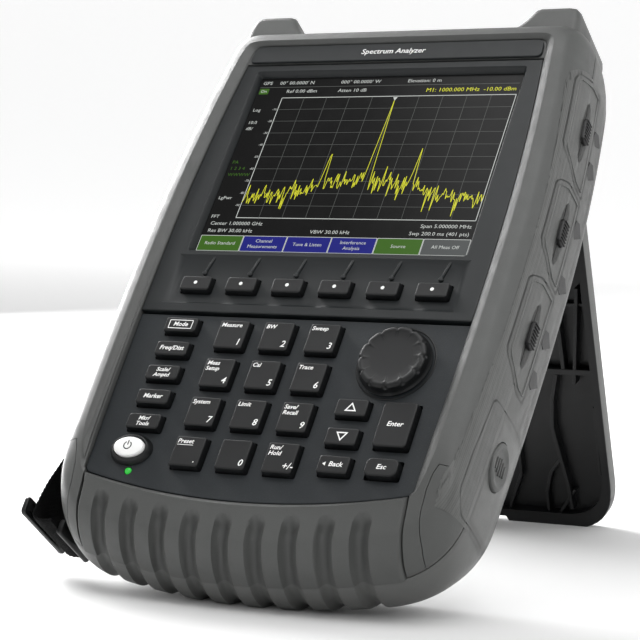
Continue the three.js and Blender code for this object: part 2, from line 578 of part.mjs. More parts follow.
function stand() {
  const { half, outer, inner, web, wall, corner, notch, notchDepth, top, pocketTop, pocketCorner } = STAND;
  const foot = standLength;
  const outline = [
    V(-half, top), V(half, top), ...curve(V(half, foot - corner), V(half, foot), V(half - corner, foot), 6),
    V(notch, foot), V(notch - 1, foot - notchDepth), V(1 - notch, foot - notchDepth), V(-notch, foot),
    ...curve(V(corner - half, foot), V(-half, foot), V(-half, foot - corner), 6),
  ];
  const bore = prismX(ellipse(0, 0, pinHole, pinHole, 12), -FAR, FAR);
  const barrel = prismX(ellipse(0, 0, STAND_BARREL, STAND_BARREL, 16), -half, half);
  const { bar, rib, width } = STAND_RIBS;
  const pocket = (x0, x1, y0, y1) => prism(
    roundedBox(x1 - x0, y1 - y0, pocketCorner, (x0 + x1) / 2, (y0 + y1) / 2), outer + web, inner + 1);
  const side = half - wall;
  const low = foot - notchDepth - wall;
  const pockets = [[pocketTop, bar], [bar + width, low]].flatMap(([y0, y1]) => [
    pocket(-side, -rib, y0, y1), pocket(-rib + width, rib - width, y0, y1), pocket(rib, side, y0, y1),
  ]);
  const plate = pockets.reduce((whole, room) => whole.subtract(room), prism(outline, outer, inner));
  return plate.add(barrel).subtract(bore);
}

const standPlace = new THREE.Matrix4().makeTranslation(0, STAND.hingeY, STAND.hingeZ)
  .multiply(new THREE.Matrix4().makeRotationX(radians(STAND.open)))
  .multiply(new THREE.Matrix4().makeRotationZ(Math.PI));
node('stand', turned(stand(), standPlace).subtract(floor), 'black');
node('stand_pin', prismX(
  ellipse(STAND.hingeY, STAND.hingeZ, PIN.radius, PIN.radius, 12), -PIN.half, PIN.half), 'steel');

// ---------------------------------------------------------------- the whole, on its origin
const analyser = new THREE.Group();
analyser.add(device);
analyser.updateMatrixWorld(true);
const box = new THREE.Box3().setFromObject(analyser, true);
analyser.position.set(-(box.min.x + box.max.x) / 2, -(box.min.y + box.max.y) / 2, -box.min.z);

export default analyser;
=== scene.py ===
"""Handheld spectrum analyzer: the looks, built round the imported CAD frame."""

import json
import math
import random

import bpy
from mathutils import Matrix, Vector


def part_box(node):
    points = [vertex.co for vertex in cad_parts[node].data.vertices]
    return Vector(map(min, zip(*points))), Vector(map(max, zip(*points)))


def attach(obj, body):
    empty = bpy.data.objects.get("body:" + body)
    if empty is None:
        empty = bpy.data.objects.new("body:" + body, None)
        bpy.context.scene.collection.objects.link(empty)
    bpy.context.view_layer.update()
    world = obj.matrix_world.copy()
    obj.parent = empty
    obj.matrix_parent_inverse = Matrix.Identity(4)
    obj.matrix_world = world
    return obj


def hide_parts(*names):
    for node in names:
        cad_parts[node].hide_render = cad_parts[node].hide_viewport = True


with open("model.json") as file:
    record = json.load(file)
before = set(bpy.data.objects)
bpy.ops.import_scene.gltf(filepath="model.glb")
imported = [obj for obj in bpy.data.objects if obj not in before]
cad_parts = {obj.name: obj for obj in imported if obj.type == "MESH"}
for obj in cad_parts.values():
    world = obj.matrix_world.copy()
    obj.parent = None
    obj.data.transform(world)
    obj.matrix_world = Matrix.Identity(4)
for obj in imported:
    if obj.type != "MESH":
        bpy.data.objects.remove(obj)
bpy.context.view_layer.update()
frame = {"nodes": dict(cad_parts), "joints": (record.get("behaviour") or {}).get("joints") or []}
random_source = random.Random(11)

# ------------------------------------------------------------------ the instrument's own frame
# x to the right, y up the face, z out of the face, in millimetres from the middle of the screen.
JOINTS = {joint["name"]: joint for joint in frame["joints"]}
AXIS_Z = Vector(JOINTS["knob_turn"]["axis"]).normalized()
AXIS_X = Vector((1, 0, 0))
AXIS_Y = AXIS_Z.cross(AXIS_X)
window_low, window_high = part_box("screen_window")
HALF_WINDOW = 0.0012                    # half the screen window's thickness, in metres
ORIGIN = (window_low + window_high) / 2 + AXIS_Z * HALF_WINDOW
TURN = Matrix((AXIS_X, AXIS_Y, AXIS_Z)).transposed().to_4x4()
DEVICE = Matrix.Translation(ORIGIN) @ TURN @ Matrix.Scale(0.001, 4)

# ------------------------------------------------------------------ camera, light and floor
scene = bpy.context.scene
scene.view_settings.view_transform = "Standard"
BACKDROP_GLOW, GLOW_FROM, GLOW_TO = 0.55, 0.3, 2.4   # strength, and where it starts and is full, in metres
CAMERA_OFFSET = Vector((0.451, -0.8805, 0.0004))
CAMERA_AZIMUTH, CAMERA_ELEVATION, LENS, SENSOR, CLIP_END = 28.12, 4.06, 125.1, 36, 50
WORLD_LIGHT = 0.42
LIGHTS = [  # name, azimuth, elevation, distance, width and height, watts
    ("right_rim", 112, 14, 1.5, (0.7, 1.5), 6), ("right_strip", 62, 38, 1.4, (0.16, 1.4), 7),
    ("left_rim", -118, 18, 1.5, (0.8, 1.4), 70), ("top", 5, 80, 1.5, (1.4, 1.0), 13),
    ("front_fill", -25, 22, 1.9, (1.4, 1.4), 4),
]
COVE = {"reach": 5.0, "rise": 5.0, "bend": 1.2, "steps": 16}


def towards(azimuth, elevation):
    a, e = math.radians(azimuth), math.radians(elevation)
    return Vector((math.sin(a) * math.cos(e), -math.cos(a) * math.cos(e), math.sin(e)))


def add_camera():
    data = bpy.data.cameras.new("camera")
    data.lens, data.sensor_width, data.clip_end = LENS, SENSOR, CLIP_END
    camera = bpy.data.objects.new("camera", data)
    camera.location = ORIGIN + CAMERA_OFFSET
    camera.rotation_mode = "QUATERNION"
    camera.rotation_quaternion = (-towards(CAMERA_AZIMUTH, CAMERA_ELEVATION)).to_track_quat("-Z", "Y")
    scene.collection.objects.link(camera)
    scene.camera = camera


def add_light(name, azimuth, elevation, distance, size, power):
    data = bpy.data.lights.new(name, "AREA")
    data.shape, data.size, data.size_y = "RECTANGLE", size[0], size[1]
    data.energy = power
    light = bpy.data.objects.new(name, data)
    direction = towards(azimuth, elevation)
    light.location = ORIGIN + direction * distance
    light.rotation_mode = "QUATERNION"
    light.rotation_quaternion = (-direction).to_track_quat("-Z", "Y")
    scene.collection.objects.link(light)


def add_surroundings():
    world = bpy.data.worlds.new("studio")
    world.use_nodes = True
    world.node_tree.nodes["Background"].inputs["Color"].default_value = (1, 1, 1, 1)
    world.node_tree.nodes["Background"].inputs["Strength"].default_value = WORLD_LIGHT
    scene.world = world
    for light in LIGHTS:
        add_light(*light)
    reach, bend, steps = COVE["reach"], COVE["bend"], COVE["steps"]
    section = [(-reach, 0.0)] + [(reach - bend + bend * math.sin(a), bend - bend * math.cos(a))
        for a in (math.pi / 2 * i / steps for i in range(steps + 1))] + [(reach, COVE["rise"])]
    points = [(x, y, z) for y, z in section for x in (-2 * reach, 2 * reach)]
    mesh = bpy.data.meshes.new("cove")
    mesh.from_pydata(points, [], [(2 * i, 2 * i + 1, 2 * i + 3, 2 * i + 2) for i in range(len(section) - 1)])
    mesh.polygons.foreach_set("use_smooth", [True] * len(mesh.polygons))
    cove = bpy.data.objects.new("cove", mesh)
    scene.collection.objects.link(cove)
    paint = material("cove", (0.7, 0.7, 0.7), 0.7, grain=None)
    nodes, links = paint.node_tree.nodes, paint.node_tree.links
    place, split, fade = (nodes.new(kind) for kind in ("ShaderNodeTexCoord", "ShaderNodeSeparateXYZ",
        "ShaderNodeMapRange"))
    fade.inputs["From Min"].default_value, fade.inputs["From Max"].default_value = GLOW_FROM, GLOW_TO
    fade.inputs["To Max"].default_value = BACKDROP_GLOW
    links.new(place.outputs["Object"], split.inputs[0])
    links.new(split.outputs["Y"], fade.inputs["Value"])
    surface = next(item for item in nodes if item.type == "BSDF_PRINCIPLED")
    surface.inputs["Emission Color"].default_value = (1, 1, 1, 1)
    links.new(fade.outputs["Result"], surface.inputs["Emission Strength"])
    cove.data.materials.append(paint)


# ------------------------------------------------------------------ materials
def material(name, colour, roughness, metallic=0.0, grain=0.45, bump=0.25, variation=0.06, glow=0.0,
        speckle=0.0, specular=0.5, brushed=False):
    """A moulded surface: grain is the bump's size in mm, variation the share by which the colour drifts."""
    made = bpy.data.materials.new(name)
    made.use_nodes = True
    tree = made.node_tree
    shader = tree.nodes["Principled BSDF"]
    shader.inputs["Roughness"].default_value = roughness
    shader.inputs["Metallic"].default_value = metallic
    shader.inputs["Specular IOR Level"].default_value = specular
    shader.inputs["Base Color"].default_value = (*colour, 1)
    if glow:
        shader.inputs["Emission Color"].default_value = (*colour, 1)
        shader.inputs["Emission Strength"].default_value = glow
        colour = tuple(channel * 0.15 for channel in colour)
    if grain is None:
        return made
    place = tree.nodes.new("ShaderNodeTexCoord")

    def noise(size_mm, detail=2.0, roughness_value=0.6, stretch=None):
        source = tree.nodes.new("ShaderNodeTexNoise")
        source.inputs["Scale"].default_value = 1000 / size_mm
        source.inputs["Detail"].default_value = detail
        source.inputs["Roughness"].default_value = roughness_value
        if stretch:
            mapping = tree.nodes.new("ShaderNodeMapping")
            mapping.inputs["Scale"].default_value = stretch
            tree.links.new(place.outputs["Object"], mapping.inputs["Vector"])
            tree.links.new(mapping.outputs["Vector"], source.inputs["Vector"])
        else:
            tree.links.new(place.outputs["Object"], source.inputs["Vector"])
        return source.outputs["Fac"]

    def ramp(source, low, high, at=(0.3, 0.7)):
        node = tree.nodes.new("ShaderNodeMapRange")
        node.inputs["From Min"].default_value, node.inputs["From Max"].default_value = at
        node.inputs["To Min"].default_value, node.inputs["To Max"].default_value = low, high
        tree.links.new(source, node.inputs["Value"])
        return node.outputs["Result"]

    def times(a, b):
        node = tree.nodes.new("ShaderNodeMath")
        node.operation = "MULTIPLY"
        tree.links.new(a, node.inputs[0])
        tree.links.new(b, node.inputs[1])
        return node.outputs["Value"]

    drift = ramp(noise(38, 3), 1 - variation, 1 + variation)
    fine = ramp(noise(grain, 2), 1 - variation * 0.8, 1 + variation * 0.8)
    tone = times(drift, fine)
    if speckle:
        tone = times(tone, ramp(noise(0.55, 1), 1, 1 + speckle, at=(0.62, 0.72)))
    mix = tree.nodes.new("ShaderNodeMix")
    mix.data_type = "RGBA"
    mix.blend_type = "MULTIPLY"
    mix.inputs["Factor"].default_value = 1
    mix.inputs[6].default_value = (*colour, 1)
    combine = tree.nodes.new("ShaderNodeCombineColor")
    for channel in ("Red", "Green", "Blue"):
        tree.links.new(tone, combine.inputs[channel])
    tree.links.new(combine.outputs["Color"], mix.inputs[7])
    tree.links.new(mix.outputs[2], shader.inputs["Base Color"])
    tree.links.new(ramp(noise(6, 3), roughness * 0.9, min(1, roughness * 1.12)), shader.inputs["Roughness"])
    height = noise(grain, 3, 0.7, stretch=(1, 1, 12) if brushed else None)
    bumps = tree.nodes.new("ShaderNodeBump")
    bumps.inputs["Strength"].default_value = bump
    bumps.inputs["Distance"].default_value = grain * 0.0004
    tree.links.new(height, bumps.inputs["Height"])
    tree.links.new(bumps.outputs["Normal"], shader.inputs["Normal"])
    return made


M = {
    "rubber": material("rubber", (0.062, 0.064, 0.062), 0.5, grain=0.35, bump=0.25, variation=0.06),
    "shell": material("shell", (0.085, 0.087, 0.084), 0.42, grain=0.4, bump=0.22, variation=0.05),
    "bezel": material("bezel", (0.0078, 0.0098, 0.0108), 0.42, grain=0.35, bump=0.15, specular=0.34),
    "keypad": material("keypad", (0.0122, 0.0152, 0.0176), 0.5, specular=0.34, grain=0.45, bump=0.35,
        speckle=0.6, variation=0.1),
    "key": material("key", (0.0032, 0.0037, 0.0042), 0.42, grain=0.3, bump=0.12, specular=0.34),
    "white": material("white", (0.86, 0.86, 0.85), 0.35, grain=0.5, bump=0.04, variation=0.01),
    "led": material("led", (0.03, 0.5, 0.05), 0.3, grain=0.8, bump=0.02, glow=0.9),
    "black": material("black", (0.0022, 0.0024, 0.0027), 0.36, grain=0.6, bump=0.12, variation=0.12,
        specular=0.4),
    "webbing": material("webbing", (0.0016, 0.0016, 0.0018), 0.9, grain=0.9, bump=0.8, variation=0.2,
        specular=0.15),
    "steel": material("steel", (0.6, 0.59, 0.57), 0.24, metallic=1, grain=0.5, bump=0.08, brushed=True),
    "gold": material("gold", (0.8, 0.58, 0.25), 0.25, metallic=1, grain=0.5, bump=0.05),
    "insulator": material("insulator", (0.75, 0.75, 0.72), 0.5, grain=0.8, bump=0.05),
    "socket": material("socket", (0.004, 0.004, 0.0045), 0.5, grain=0.6, bump=0.1),
    "board": material("board", (0.02, 0.12, 0.05), 0.4, grain=0.6, bump=0.1),
    "shield": material("shield", (0.62, 0.63, 0.63), 0.35, metallic=1, grain=0.7, bump=0.1),
}
for ui_name, ui_colour in [
    ("ui_back", (0.0045, 0.0045, 0.0045)), ("ui_grid", (0.085, 0.09, 0.085)), ("ui_text", (0.5, 0.52, 0.5)),
    ("ui_trace", (0.62, 0.62, 0.03)), ("ui_green", (0.04, 0.11, 0.012)), ("ui_blue", (0.012, 0.014, 0.17)),
    ("ui_grey", (0.07, 0.075, 0.075)),
]:
    M[ui_name] = material(ui_name, ui_colour, 0.2, grain=0.6, bump=0.0, variation=0.02, glow=1.0, specular=0.12)


# ------------------------------------------------------------------ mesh helpers, in millimetres
class Shape:
    """Points and faces in the instrument's own frame, with a material name for each face."""

    def __init__(self):
        self.points, self.faces, self.looks = [], [], []

    def add(self, points, faces, look):
        start = len(self.points)
        self.points.extend(points)
        self.faces.extend([[start + i for i in face] for face in faces])
        self.looks.extend([look] * len(faces))
        return self

    def mesh(self, name):
        mesh = bpy.data.meshes.new(name)
        mesh.from_pydata(self.points, [], self.faces)
        looks = sorted(set(self.looks))
        for look in looks:
            mesh.materials.append(M[look])
        mesh.polygons.foreach_set("material_index", [looks.index(look) for look in self.looks])
        mesh.update()
        return mesh


def finish_piece(name, mesh, body, replaced=(), sharp=32):
    """Places a mesh drawn in the instrument's own frame, shades it and gives it to its body."""
    mesh.transform(DEVICE)
    mesh.polygons.foreach_set("use_smooth", [True] * len(mesh.polygons))
    mesh.set_sharp_from_angle(angle=math.radians(sharp))
    piece = bpy.data.objects.new(name, mesh)
    scene.collection.objects.link(piece)
    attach(piece, body)
    if replaced:
        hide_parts(*replaced)
    return piece


def rings_solid(shape, rings, look, closed=False):
    """Skins rings of equal length, from bottom to top, with caps, or joined end to end if closed."""
    count = len(rings[0])
    points = [p for ring in rings for p in ring]
    faces = []
    spans = len(rings) if closed else len(rings) - 1
    for k in range(spans):
        a, b = k * count, ((k + 1) % len(rings)) * count
        for i in range(count):
            j = (i + 1) % count
            faces.append([a + i, a + j, b + j, b + i])
    shape.add(points, faces, look)
    if not closed:
        base = len(shape.points) - len(points)
        shape.faces.append([base + i for i in reversed(range(count))])
        shape.faces.append([base + (len(rings) - 1) * count + i for i in range(count)])
        shape.looks.extend([look, look])
    return shape


def rounded_rectangle(x, y, width, height, corner, arc=4):
    points = []
    for quarter, (sx, sy) in enumerate([(1, -1), (1, 1), (-1, 1), (-1, -1)]):
        for step in range(arc + 1):
            a = math.radians(-90 + quarter * 90 + 90 * step / arc)
            points.append((x + sx * (width / 2 - corner) + corner * math.cos(a),
                y + sy * (height / 2 - corner) + corner * math.sin(a)))
    return points


def outline_of(low, high, corner, arc=4, grow=0):
    """The rounded outline of a box seen from the front, grown all round."""
    return rounded_rectangle((low[0] + high[0]) / 2, (low[1] + high[1]) / 2, high[0] - low[0] + 2 * grow,
        high[1] - low[1] + 2 * grow, corner, arc)


def ellipse(x, y, half_width, half_height, count=48):
    return [(x + half_width * math.cos(2 * math.pi * i / count),
        y + half_height * math.sin(2 * math.pi * i / count)) for i in range(count)]


def inset(outline, amount):
    """Moves each corner of an anticlockwise outline inwards by amount."""
    if abs(amount) < 1e-9:
        return list(outline)
    count, moved = len(outline), []
    for i in range(count):
        (ax, ay), (bx, by), (cx, cy) = outline[i - 1], outline[i], outline[(i + 1) % count]
        before, after = Vector((bx - ax, by - ay)), Vector((cx - bx, cy - by))
        if before.length < 1e-9 or after.length < 1e-9:
            moved.append((bx, by))
            continue
        n1 = Vector((-before.y, before.x)).normalized()
        n2 = Vector((-after.y, after.x)).normalized()
        middle = n1 + n2
        scale = amount / max(0.35, 1 + n1.dot(n2))
        moved.append((bx + middle.x * scale, by + middle.y * scale))
    return moved


def rounded_levels(low, high, low_round, high_round, steps=4):
    """(height, inset) pairs of a slab whose lower and upper edges are rounded."""
    levels = []
    if low_round:
        levels += [(low + low_round * (1 - math.sin(math.pi / 2 * k / steps)),
            low_round * (1 - math.cos(math.pi / 2 * k / steps))) for k in range(steps, -1, -1)]
    else:
        levels.append((low, 0))
    if high_round:
        levels += [(high - high_round * (1 - math.sin(math.pi / 2 * k / steps)),
            high_round * (1 - math.cos(math.pi / 2 * k / steps))) for k in range(steps + 1)]
        levels.append((high, high_round + 0.15))
    else:
        levels.append((high, 0))
    return levels


def slab(shape, outline, low, high, look, low_round=0.0, high_round=0.0, lift=None, steps=4):
    """A slab on an outline; lift turns its own x, y and height into the instrument's frame."""
    rings = []
    for height, narrow in rounded_levels(low, high, low_round, high_round, steps):
        ring = inset(outline, narrow)
        rings.append([lift(x, y, height) if lift else (x, y, height) for x, y in ring])
    return rings_solid(shape, rings, look)


def as_shape(mesh, look):
    return Shape().add([tuple(v.co) for v in mesh.vertices], [list(p.vertices) for p in mesh.polygons], look)


def temporary(mesh_or_shape):
    mesh = mesh_or_shape.mesh("cutter") if isinstance(mesh_or_shape, Shape) else mesh_or_shape
    piece = bpy.data.objects.new("cutter", mesh)
    scene.collection.objects.link(piece)
    return piece


def carve(base, *cuts):
    """Applies (operation, shape) pairs to a base shape and returns the mesh that is left."""
    target = temporary(base)
    others = []
    for operation, shape in cuts:
        other = temporary(shape)
        others.append(other)
        step = target.modifiers.new(operation, "BOOLEAN")
        step.operation, step.object, step.solver = operation, other, "MANIFOLD"
    mesh = bpy.data.meshes.new_from_object(target.evaluated_get(bpy.context.evaluated_depsgraph_get()))
    for piece in [target, *others]:
        bpy.data.objects.remove(piece)
    return mesh


def box_shape(x0, x1, y0, y1, z0, z1, look="rubber"):
    return slab(Shape(), [(x0, y0), (x1, y0), (x1, y1), (x0, y1)], z0, z1, look)


def smooth_through(table, amount, key):
    """Catmull-Rom through table's rows at a fraction from 0 to 1."""
    spans = len(table) - 1
    at = min(amount * spans, spans - 1e-6)
    i = int(at)
    t = at - i
    p = [table[min(max(i + k, 0), spans)][key] for k in (-1, 0, 1, 2)]
    return 0.5 * (2 * p[1] + (p[2] - p[0]) * t + (2 * p[0] - 5 * p[1] + 4 * p[2] - p[3]) * t * t
                  + (3 * p[1] - p[0] - 3 * p[2] + p[3]) * t ** 3)


def bezier(a, b, c, count):
    return [tuple((1 - t) ** 2 * a[k] + 2 * t * (1 - t) * b[k] + t * t * c[k] for k in (0, 1))
            for t in (i / count for i in range(count + 1))]


# ------------------------------------------------------------------ the CAD nodes and the case's outline
TO_DEVICE = DEVICE.inverted()


def device_box(node):
    corners = [TO_DEVICE @ vertex.co for vertex in frame["nodes"][node].data.vertices]
    return [min(c[k] for c in corners) for k in range(3)], [max(c[k] for c in corners) for k in range(3)]


def middle_of(node):
    low, high = device_box(node)
    return tuple((a + b) / 2 for a, b in zip(low, high))


CASE_LEVELS = [  # z, half width, top, bottom
    (-58, 85, 50, -178), (-48, 93.5, 66, -191), (-40, 96, 73.5, -199), (-33, 97, 77.5, -204.5),
    (-25, 97.5, 79.5, -206), (-16, 97.5, 80, -204), (-8, 97, 79.5, -200), (-1, 95, 77.5, -192.5),
    (4, 90.5, 73.5, -181), (6, 85.5, 68.5, -177.5),
]
PARTING_LEVEL = 5                       # the row of CASE_LEVELS where front and rear shells meet
WAIST_Y, BOW_ABOVE, BOW_BELOW, BASE_BOW = -45, 5.8, 2.3, 9
FACE_TOP, FACE_BOTTOM, FACE_TOP_HALF, FACE_HALF, FACE_LOW_HALF, CORNER_RISE = 55.4, -175, 74.7, 80, 77, 9
GROOVE_Y = -84.8
GRIP_HALF = 76
BATTERY_ROOM = (-13, 110, -163.6, -118.4, -43.6, -18.4)   # its sides in x, y and z
BATTERY_LOW, BATTERY_HIGH, BATTERY_BACK, BATTERY_FRONT, BATTERY_DEPTH = -166.5, -115, -44.5, -4, 5
LATCH_Y, LATCH_Z = -135, -26
PORT_X, PORT_Z = 28, -28.5
FLUTES = {"count": 9, "pitch": 15.3, "first": -63.6, "half": 4.0, "depth": 4.3}
HINGE_Y, HINGE_Z, STAND_OPEN = 66, -61.5, 56.2
DOORS = [  # name, low y, high y, front z, corner cut at the top and at the foot
    ("top_door", 2, 57.5, -2, 15, 11), ("middle_door", -48, -1.5, -3.6, 9, 11),
    ("lower_door", -103, -51.5, -3.6, 9, 11),
]
DOOR_BACK, DOOR_THICKNESS, DOOR_POCKET, DOOR_INSET = -27.5, 2.6, 3.4, 0.4
PANEL_INNER, PANEL_TOP, PANEL_BOTTOM, PANEL_BACK, PANEL_FRONT, PANEL_RISE = 86.6, 60, -169, -47.5, 0.2, 3
SEAM = 1.1                              # the gap round a side door
TAB_REACH = 10.8                        # from a door's hinge line to the middle of its thumb tab


def smoothstep(low, high, value):
    t = min(1, max(0, (value - low) / (high - low)))
    return t * t * (3 - 2 * t)


def side_bow(y):
    return (BOW_ABOVE if y > WAIST_Y else BOW_BELOW) * ((y - WAIST_Y) / 100) ** 2


def flute_depth(x, run):
    """How deep the grip's flutes are at x, at a distance run below the flutes' tops."""
    index = round((x - FLUTES["first"]) / FLUTES["pitch"])
    if not 0 <= index < FLUTES["count"] or run <= 0:
        return 0
    half = FLUTES["half"] * min(1, 0.3 + math.sqrt(run / 7))
    offset = (x - FLUTES["first"] - index * FLUTES["pitch"]) / half
    if abs(offset) >= 1:
        return 0
    skew = offset + 0.36 * (1 - offset * offset)
    depth = FLUTES["depth"] * (1 - skew * skew) ** 0.75
    return depth * smoothstep(-1.5, 6, run) * (1 - 0.45 * smoothstep(14, 38, run))


def lip(y, z):
    """The front lip stands lower round the bottom corners than beside the screen."""
    return z * (1 - 0.42 * smoothstep(-138, -180, y)) if z > 0 else z


def case_ring(level, base_steps=150, shrink=0.0):
    z, half, top, bottom = (smooth_through(CASE_LEVELS, level / (len(CASE_LEVELS) - 1), k) for k in range(4))
    half, top, bottom = half - shrink, top - shrink, bottom + shrink
    low_corner, high_corner = 26, 10

    def side(y):
        return half - side_bow(y)

    def base(x):
        return bottom + BASE_BOW * (x / 75) ** 2

    corner_y = base(half - 4)
    corner_x = side(corner_y)
    base_end = corner_x - low_corner
    right = [(base_end * i / base_steps, base(base_end * i / base_steps)) for i in range(base_steps)]
    right += bezier((base_end, base(base_end)), (corner_x, corner_y),
        (side(corner_y + low_corner), corner_y + low_corner), 24)
    low, high = corner_y + low_corner, top - high_corner
    right += [(side(low + (high - low) * i / 50), low + (high - low) * i / 50) for i in range(1, 50)]
    right += bezier((side(high), high), (side(top), top), (side(top) - high_corner, top), 10)
    right += [((side(top) - high_corner) * (1 - i / 8), top) for i in range(1, 8)]
    ring = right + [(-x, y) for x, y in reversed(right) if x > 1e-6]
    fade = 1 - smoothstep(-34, -54, z)
    placed = []
    for x, y in ring:
        fluted = flute_depth(x, 30) * fade if y < -150 and z < -15.9 else 0
        placed.append((x, y + fluted, lip(y, z)))
    return placed


def case_loft(first, last, steps, seams=()):
    """The case between two rows of CASE_LEVELS; a seam's row is drawn in a little to make a chamfer."""
    rings = []
    for k in range(steps + 1):
        level = first + (last - first) * k / steps
        rings.append(case_ring(level, shrink=0.45 if k in seams else 0))
    return rings


def half_face(y):
    towards = (y + 45) / (FACE_TOP + 45) if y > -45 else (-45 - y) / 121
    end = FACE_TOP_HALF if y > -45 else FACE_LOW_HALF
    return FACE_HALF - (FACE_HALF - end) * towards ** 2


def face_outline(grow=0.0, low=None, high=FACE_TOP, corner=0.0, top_share=1.0):
    """The face between two heights; corner rounds its upper corners."""
    top = high + grow * top_share
    right = []
    if low is None:
        rise = FACE_BOTTOM + CORNER_RISE
        reach = half_face(rise) + grow - 2
        right += [(reach * i / 24, FACE_BOTTOM - grow + CORNER_RISE * (reach * i / 24 / FACE_LOW_HALF) ** 2)
            for i in range(24)]
        right.append((reach, rise - grow * 0.9 - 0.4))
        low = rise + 1.5
    else:
        right.append((0, low))
    right += [(half_face(y) + grow, y) for y in (low + (top - corner - low) * i / 40 for i in range(41))]
    if corner:
        edge = half_face(top) + grow
        right += bezier((half_face(top - corner) + grow, top - corner), (edge, top), (edge - corner, top),
            8)[1:]
    right.append((0, top))
    return right + [(-x, y) for x, y in reversed(right) if x > 1e-6]


def side_slab(shape, outline, low, high, look, **rounding):
    """Adds a slab drawn in y and z that runs along x."""
    return slab(shape, outline, low, high, look, lift=lambda y, z, x: (x, y, z), **rounding)


def prism_x(outline, low, high, look="shell", **rounding):
    return side_slab(Shape(), outline, low, high, look, **rounding)


def prism_y(outline, low, high, look="shell", **rounding):
    """A slab drawn in z and x that runs along y."""
    return slab(Shape(), outline, low, high, look, lift=lambda z, x, y: (x, y, z), **rounding)


def moved(shape, matrix):
    shape.points = [tuple(matrix @ Vector(p)) for p in shape.points]
    return shape


def lathed(shape, profile, x, y, look, segments=64, edge=None):
    """Turns (radius, z) pairs round an axis out of the face; edge(angle, radius, z) may change a radius."""
    rings = []
    for radius, z in profile:
        ring = []
        for i in range(segments):
            a = 2 * math.pi * i / segments
            r = edge(a, radius, z) if edge else radius
            ring.append((x + r * math.cos(a), y + r * math.sin(a), z))
        rings.append(ring)
    return rings_solid(shape, rings, look)


def lettering(shape, words, x, y, z, size, look="white", align="CENTER", slant=0.0, weight=0.0, stretch=1.0,
        depth=0.03):
    curve = bpy.data.curves.new("words", "FONT")
    curve.body, curve.size, curve.align_x, curve.align_y = words, size, align, "CENTER"
    curve.shear, curve.offset, curve.extrude, curve.resolution_u = slant, weight, depth, 2
    piece = bpy.data.objects.new("words", curve)
    scene.collection.objects.link(piece)
    mesh = bpy.data.meshes.new_from_object(piece.evaluated_get(bpy.context.evaluated_depsgraph_get()))
    shape.add([(x + v.co.x * stretch, y + v.co.y, z + v.co.z) for v in mesh.vertices],
        [list(p.vertices) for p in mesh.polygons], look)
    bpy.data.objects.remove(piece)
    bpy.data.meshes.remove(mesh)


def ribbon(points, width):
    """The outline of a band of even width along points."""
    left, right = [], []
    for i, point in enumerate(points):
        before, after = Vector(points[max(0, i - 1)]), Vector(points[min(len(points) - 1, i + 1)])
        along = (after - before).normalized()
        left.append((point[0] - along.y * width / 2, point[1] + along.x * width / 2))
        right.append((point[0] + along.y * width / 2, point[1] - along.x * width / 2))
    return right + left[::-1]


# ------------------------------------------------------------------ case
def panel_front(y):
    middle, reach = (PANEL_TOP + PANEL_BOTTOM) / 2, (PANEL_TOP - PANEL_BOTTOM) / 2
    return PANEL_FRONT + PANEL_RISE * ((y - middle) / reach) ** 2


def panel_outline(grow):
    low, high = PANEL_BOTTOM - grow, PANEL_TOP + grow
    front = [(y, panel_front(y) + grow) for y in (low + (PANEL_TOP - 18 - low) * i / 40 for i in range(41))]
    crown = bezier((PANEL_TOP - 10, panel_front(PANEL_TOP) + grow - 2), (high, -6), (high, -26), 10)
    return front + crown + [(high - 4, PANEL_BACK - grow), (low, PANEL_BACK - grow)]


def horns():
    outline = [(50.5, 68), (84.6, 68), (84.4, 80), (84, 83), (83.2, 86.2), (81, 88.4), (78, 89), (64.5, 89),
        (62, 88.2), (60.2, 86), (58.4, 82.5), (55.4, 79), (50.5, 76.4)]
    pair = []
    for side in (1, -1):
        horn = slab(Shape(), outline, -38, 0.5, "rubber", low_round=2, high_round=3.2)
        if side < 0:
            horn.points = [(-x, y, z) for x, y, z in horn.points]
            horn.faces = [face[::-1] for face in horn.faces]
        pair.append(horn)
    return pair


def cavity(back, front):
    return slab(Shape(), rounded_rectangle(0, -59, 166, 226, 14), back, front, "rubber")


def face_opening():
    """The face sits in a dished opening whose rim rolls over to the front of the case."""
    straight = slab(Shape(), face_outline(0.3, high=FACE_TOP + 0.3), -5, 8, "rubber")
    dish = Shape()
    profile = [(3.35, 0.3), (3.6, 0.42), (4.1, 1.0), (4.7, 1.9), (5.2, 2.8), (5.6, 3.7), (5.85, 4.4),
        (6.02, 4.85), (6.6, 6)]
    rings_solid(dish, [[(x, y, lip(y, z)) for x, y in face_outline(grow, high=66.3, corner=4, top_share=0.45)]
        for z, grow in profile], "rubber")
    return [("DIFFERENCE", straight), ("DIFFERENCE", dish)]


def grip_upper(x, grow):
    return FACE_BOTTOM - 0.6 + 4 * grow + CORNER_RISE * (x / FACE_LOW_HALF) ** 2


def bottom_region(grow):
    edge = GRIP_HALF + grow
    upper = [(x, grip_upper(x, grow)) for x in (edge - 2 * edge * i / 40 for i in range(41))]
    skirt = slab(Shape(), [(-edge, -220), (edge, -220), *upper], -17, 40, "rubber")
    return skirt, box_shape(-edge, edge, -190, -172.3 + grow, -17, -5.3 + 2 * grow)


def pad_region(side, grow):
    outline = [(83.5 - grow, -230), (130, -230), (130, -150 + grow), (85.5 - grow, -152.5 + grow),
        (83.9 - grow, -156.5), (82.6 - grow, -163), (82 - grow, -172), (82.4 - grow, -179), (83.2 - grow, -184)]
    if side < 0:
        outline = [(-x, y) for x, y in reversed(outline)]
    return slab(Shape(), outline, -17, 40, "rubber")


def front_body():
    return rings_solid(Shape(), case_loft(PARTING_LEVEL, 9, 34, seams=(0,)), "rubber")


